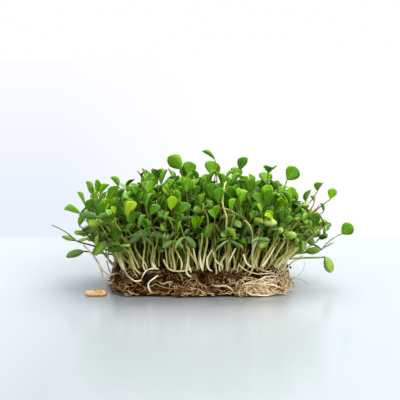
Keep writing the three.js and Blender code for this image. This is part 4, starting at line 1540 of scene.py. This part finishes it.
# Floor: a pale, glossy table top that ends behind the block, with white ground beyond it
table, tree = new_material("lacquered_table")
place = add(tree, "ShaderNodeTexCoord").outputs["Object"]
apart = add(tree, "ShaderNodeSeparateXYZ", {0: place})
across = add(
    tree, "ShaderNodeMapRange", {"Value": apart.outputs["X"], "From Min": -0.14, "From Max": 0.10},
    interpolation_type="SMOOTHSTEP",
)
# Painted light: the table top is painted paler towards its left, to lift the shade that the lamps on the
# right leave there
pale = add(
    tree, "ShaderNodeValToRGB", {"Fac": across}, stops=[(0, "#bac0c7"), (0.25, "#a9afb5"), (1, "#aab0b6")]
)
surface = add(
    tree, "ShaderNodeBsdfPrincipled", {"Base Color": pale, "Roughness": 0.18, "Specular IOR Level": 0.7}
)
# The ground beyond the table is no lamp but glows, with painted shade: dimmer and faintly blue on the left,
# the more so the nearer, and whiter the farther it is
distance = add(tree, "ShaderNodeMath", {0: apart.outputs["Y"], 1: CAMERA_TO_BLOCK}, operation="ADD")
steepness = add(tree, "ShaderNodeMath", {0: CAMERA_TO_EDGE, 1: distance}, operation="DIVIDE")
sideways = add(tree, "ShaderNodeMath", {0: apart.outputs["X"], 1: distance}, operation="DIVIDE")
leftward = add(tree, "ShaderNodeMapRange", {"Value": sideways, "From Min": 0.02, "From Max": -0.11})
backdrop_shade = add(tree, "ShaderNodeMath", {0: steepness, 1: leftward}, operation="MULTIPLY")
wall = add(
    tree, "ShaderNodeValToRGB", {"Fac": backdrop_shade},
    stops=[(0, "#ececec"), (0.15, "#eaeaec"), (0.5, "#e2e5ea"), (0.85, "#dae0e8")],
)
ground = add(tree, "ShaderNodeEmission", {"Color": wall, "Strength": 1.0})
beyond = add(
    tree, "ShaderNodeMapRange",
    {"Value": apart.outputs["Y"], "From Min": TABLE_END[0], "From Max": TABLE_END[1]},
    interpolation_type="SMOOTHSTEP",
)
both = add(tree, "ShaderNodeMixShader", {0: beyond, 1: surface, 2: ground})
add(tree, "ShaderNodeOutputMaterial", {"Surface": both})

FLOOR = {"half": 4, "z": -0.0003}
turns = ((-1, -1), (1, -1), (1, 1), (-1, 1))
corners = [(FLOOR["half"] * i, FLOOR["half"] * j, FLOOR["z"]) for i, j in turns]
floor_mesh = bpy.data.meshes.new("table_top")
floor_mesh.from_pydata(corners, [], [(0, 1, 2, 3)])
floor_mesh.materials.append(table)
new_object("table_top", floor_mesh)

# Studio light: a white room, grey overhead, a window above and behind, and two soft lights in front
world = bpy.data.worlds.new("white_room")
bpy.context.scene.world = world
world.use_nodes = True
world.node_tree.nodes.clear()
aloft = add(world.node_tree, "ShaderNodeTexCoord").outputs["Generated"]
towards = add(world.node_tree, "ShaderNodeSeparateXYZ", {0: aloft})
# It is white near the horizon all round, and the white ends lower in front and to the left
height = towards.outputs["Z"]
for axis, near, far, times in (("Y", 0.6, -0.3, 4), ("X", 0.05, -0.15, 2.2)):
    dimmer = add(
        world.node_tree, "ShaderNodeMapRange",
        {"Value": towards.outputs[axis], "From Min": near, "From Max": far, "To Min": 1, "To Max": times},
    )
    height = add(world.node_tree, "ShaderNodeMath", {0: height, 1: dimmer}, operation="MULTIPLY")
overhead = add(
    world.node_tree, "ShaderNodeValToRGB", {"Fac": height},
    stops=[(0, "#ebebed"), (0.06, "#ebebed"), (0.14, "#d6dade"), (0.6, "#a0a4a8")],
)
room_light = add(world.node_tree, "ShaderNodeBackground", {"Color": overhead, "Strength": 1.0})
add(world.node_tree, "ShaderNodeOutputWorld", {"Surface": room_light})

LIT_POINT = (0, 0, 0.03)
LAMP_COLOUR = (1, 0.985, 0.95)
for name, size, watts, place in (
    ("window", 0.6, 6.6, (0.08, 0.26, 0.58)),
    ("soft_box", 0.6, 4.2, (0.36, -0.46, 0.48)),
    ("fill", 1.0, 1.6, (-0.50, -0.30, 0.40)),
):
    lamp = bpy.data.lights.new(name, "AREA")
    lamp.shape = "SQUARE"
    lamp.size = size
    lamp.energy = watts
    lamp.color = LAMP_COLOUR
    lamp_object = new_object(name, lamp)
    lamp_object.location = place
    aimed_at = mathutils.Vector(LIT_POINT) - lamp_object.location
    lamp_object.rotation_euler = aimed_at.to_track_quat("-Z", "Y").to_euler()

# Camera at the photograph's height, seen from the front
lens = bpy.data.cameras.new("camera")
lens.lens = VIEW["lens"]
lens.sensor_width = VIEW["sensor"]
lens.clip_end = VIEW["reach"]
camera = new_object("camera", lens)
x, y, z = VIEW["aim"]
back, up = VIEW["distance"] * math.cos(VIEW["tilt"]), VIEW["distance"] * math.sin(VIEW["tilt"])
camera.location = (x, y - back, z + up)
camera.rotation_euler = (math.pi / 2 - VIEW["tilt"], 0, 0)
bpy.context.scene.camera = camera
bpy.context.scene.view_settings.view_transform = "Standard"
bpy.context.scene.view_settings.look = "Medium High Contrast"
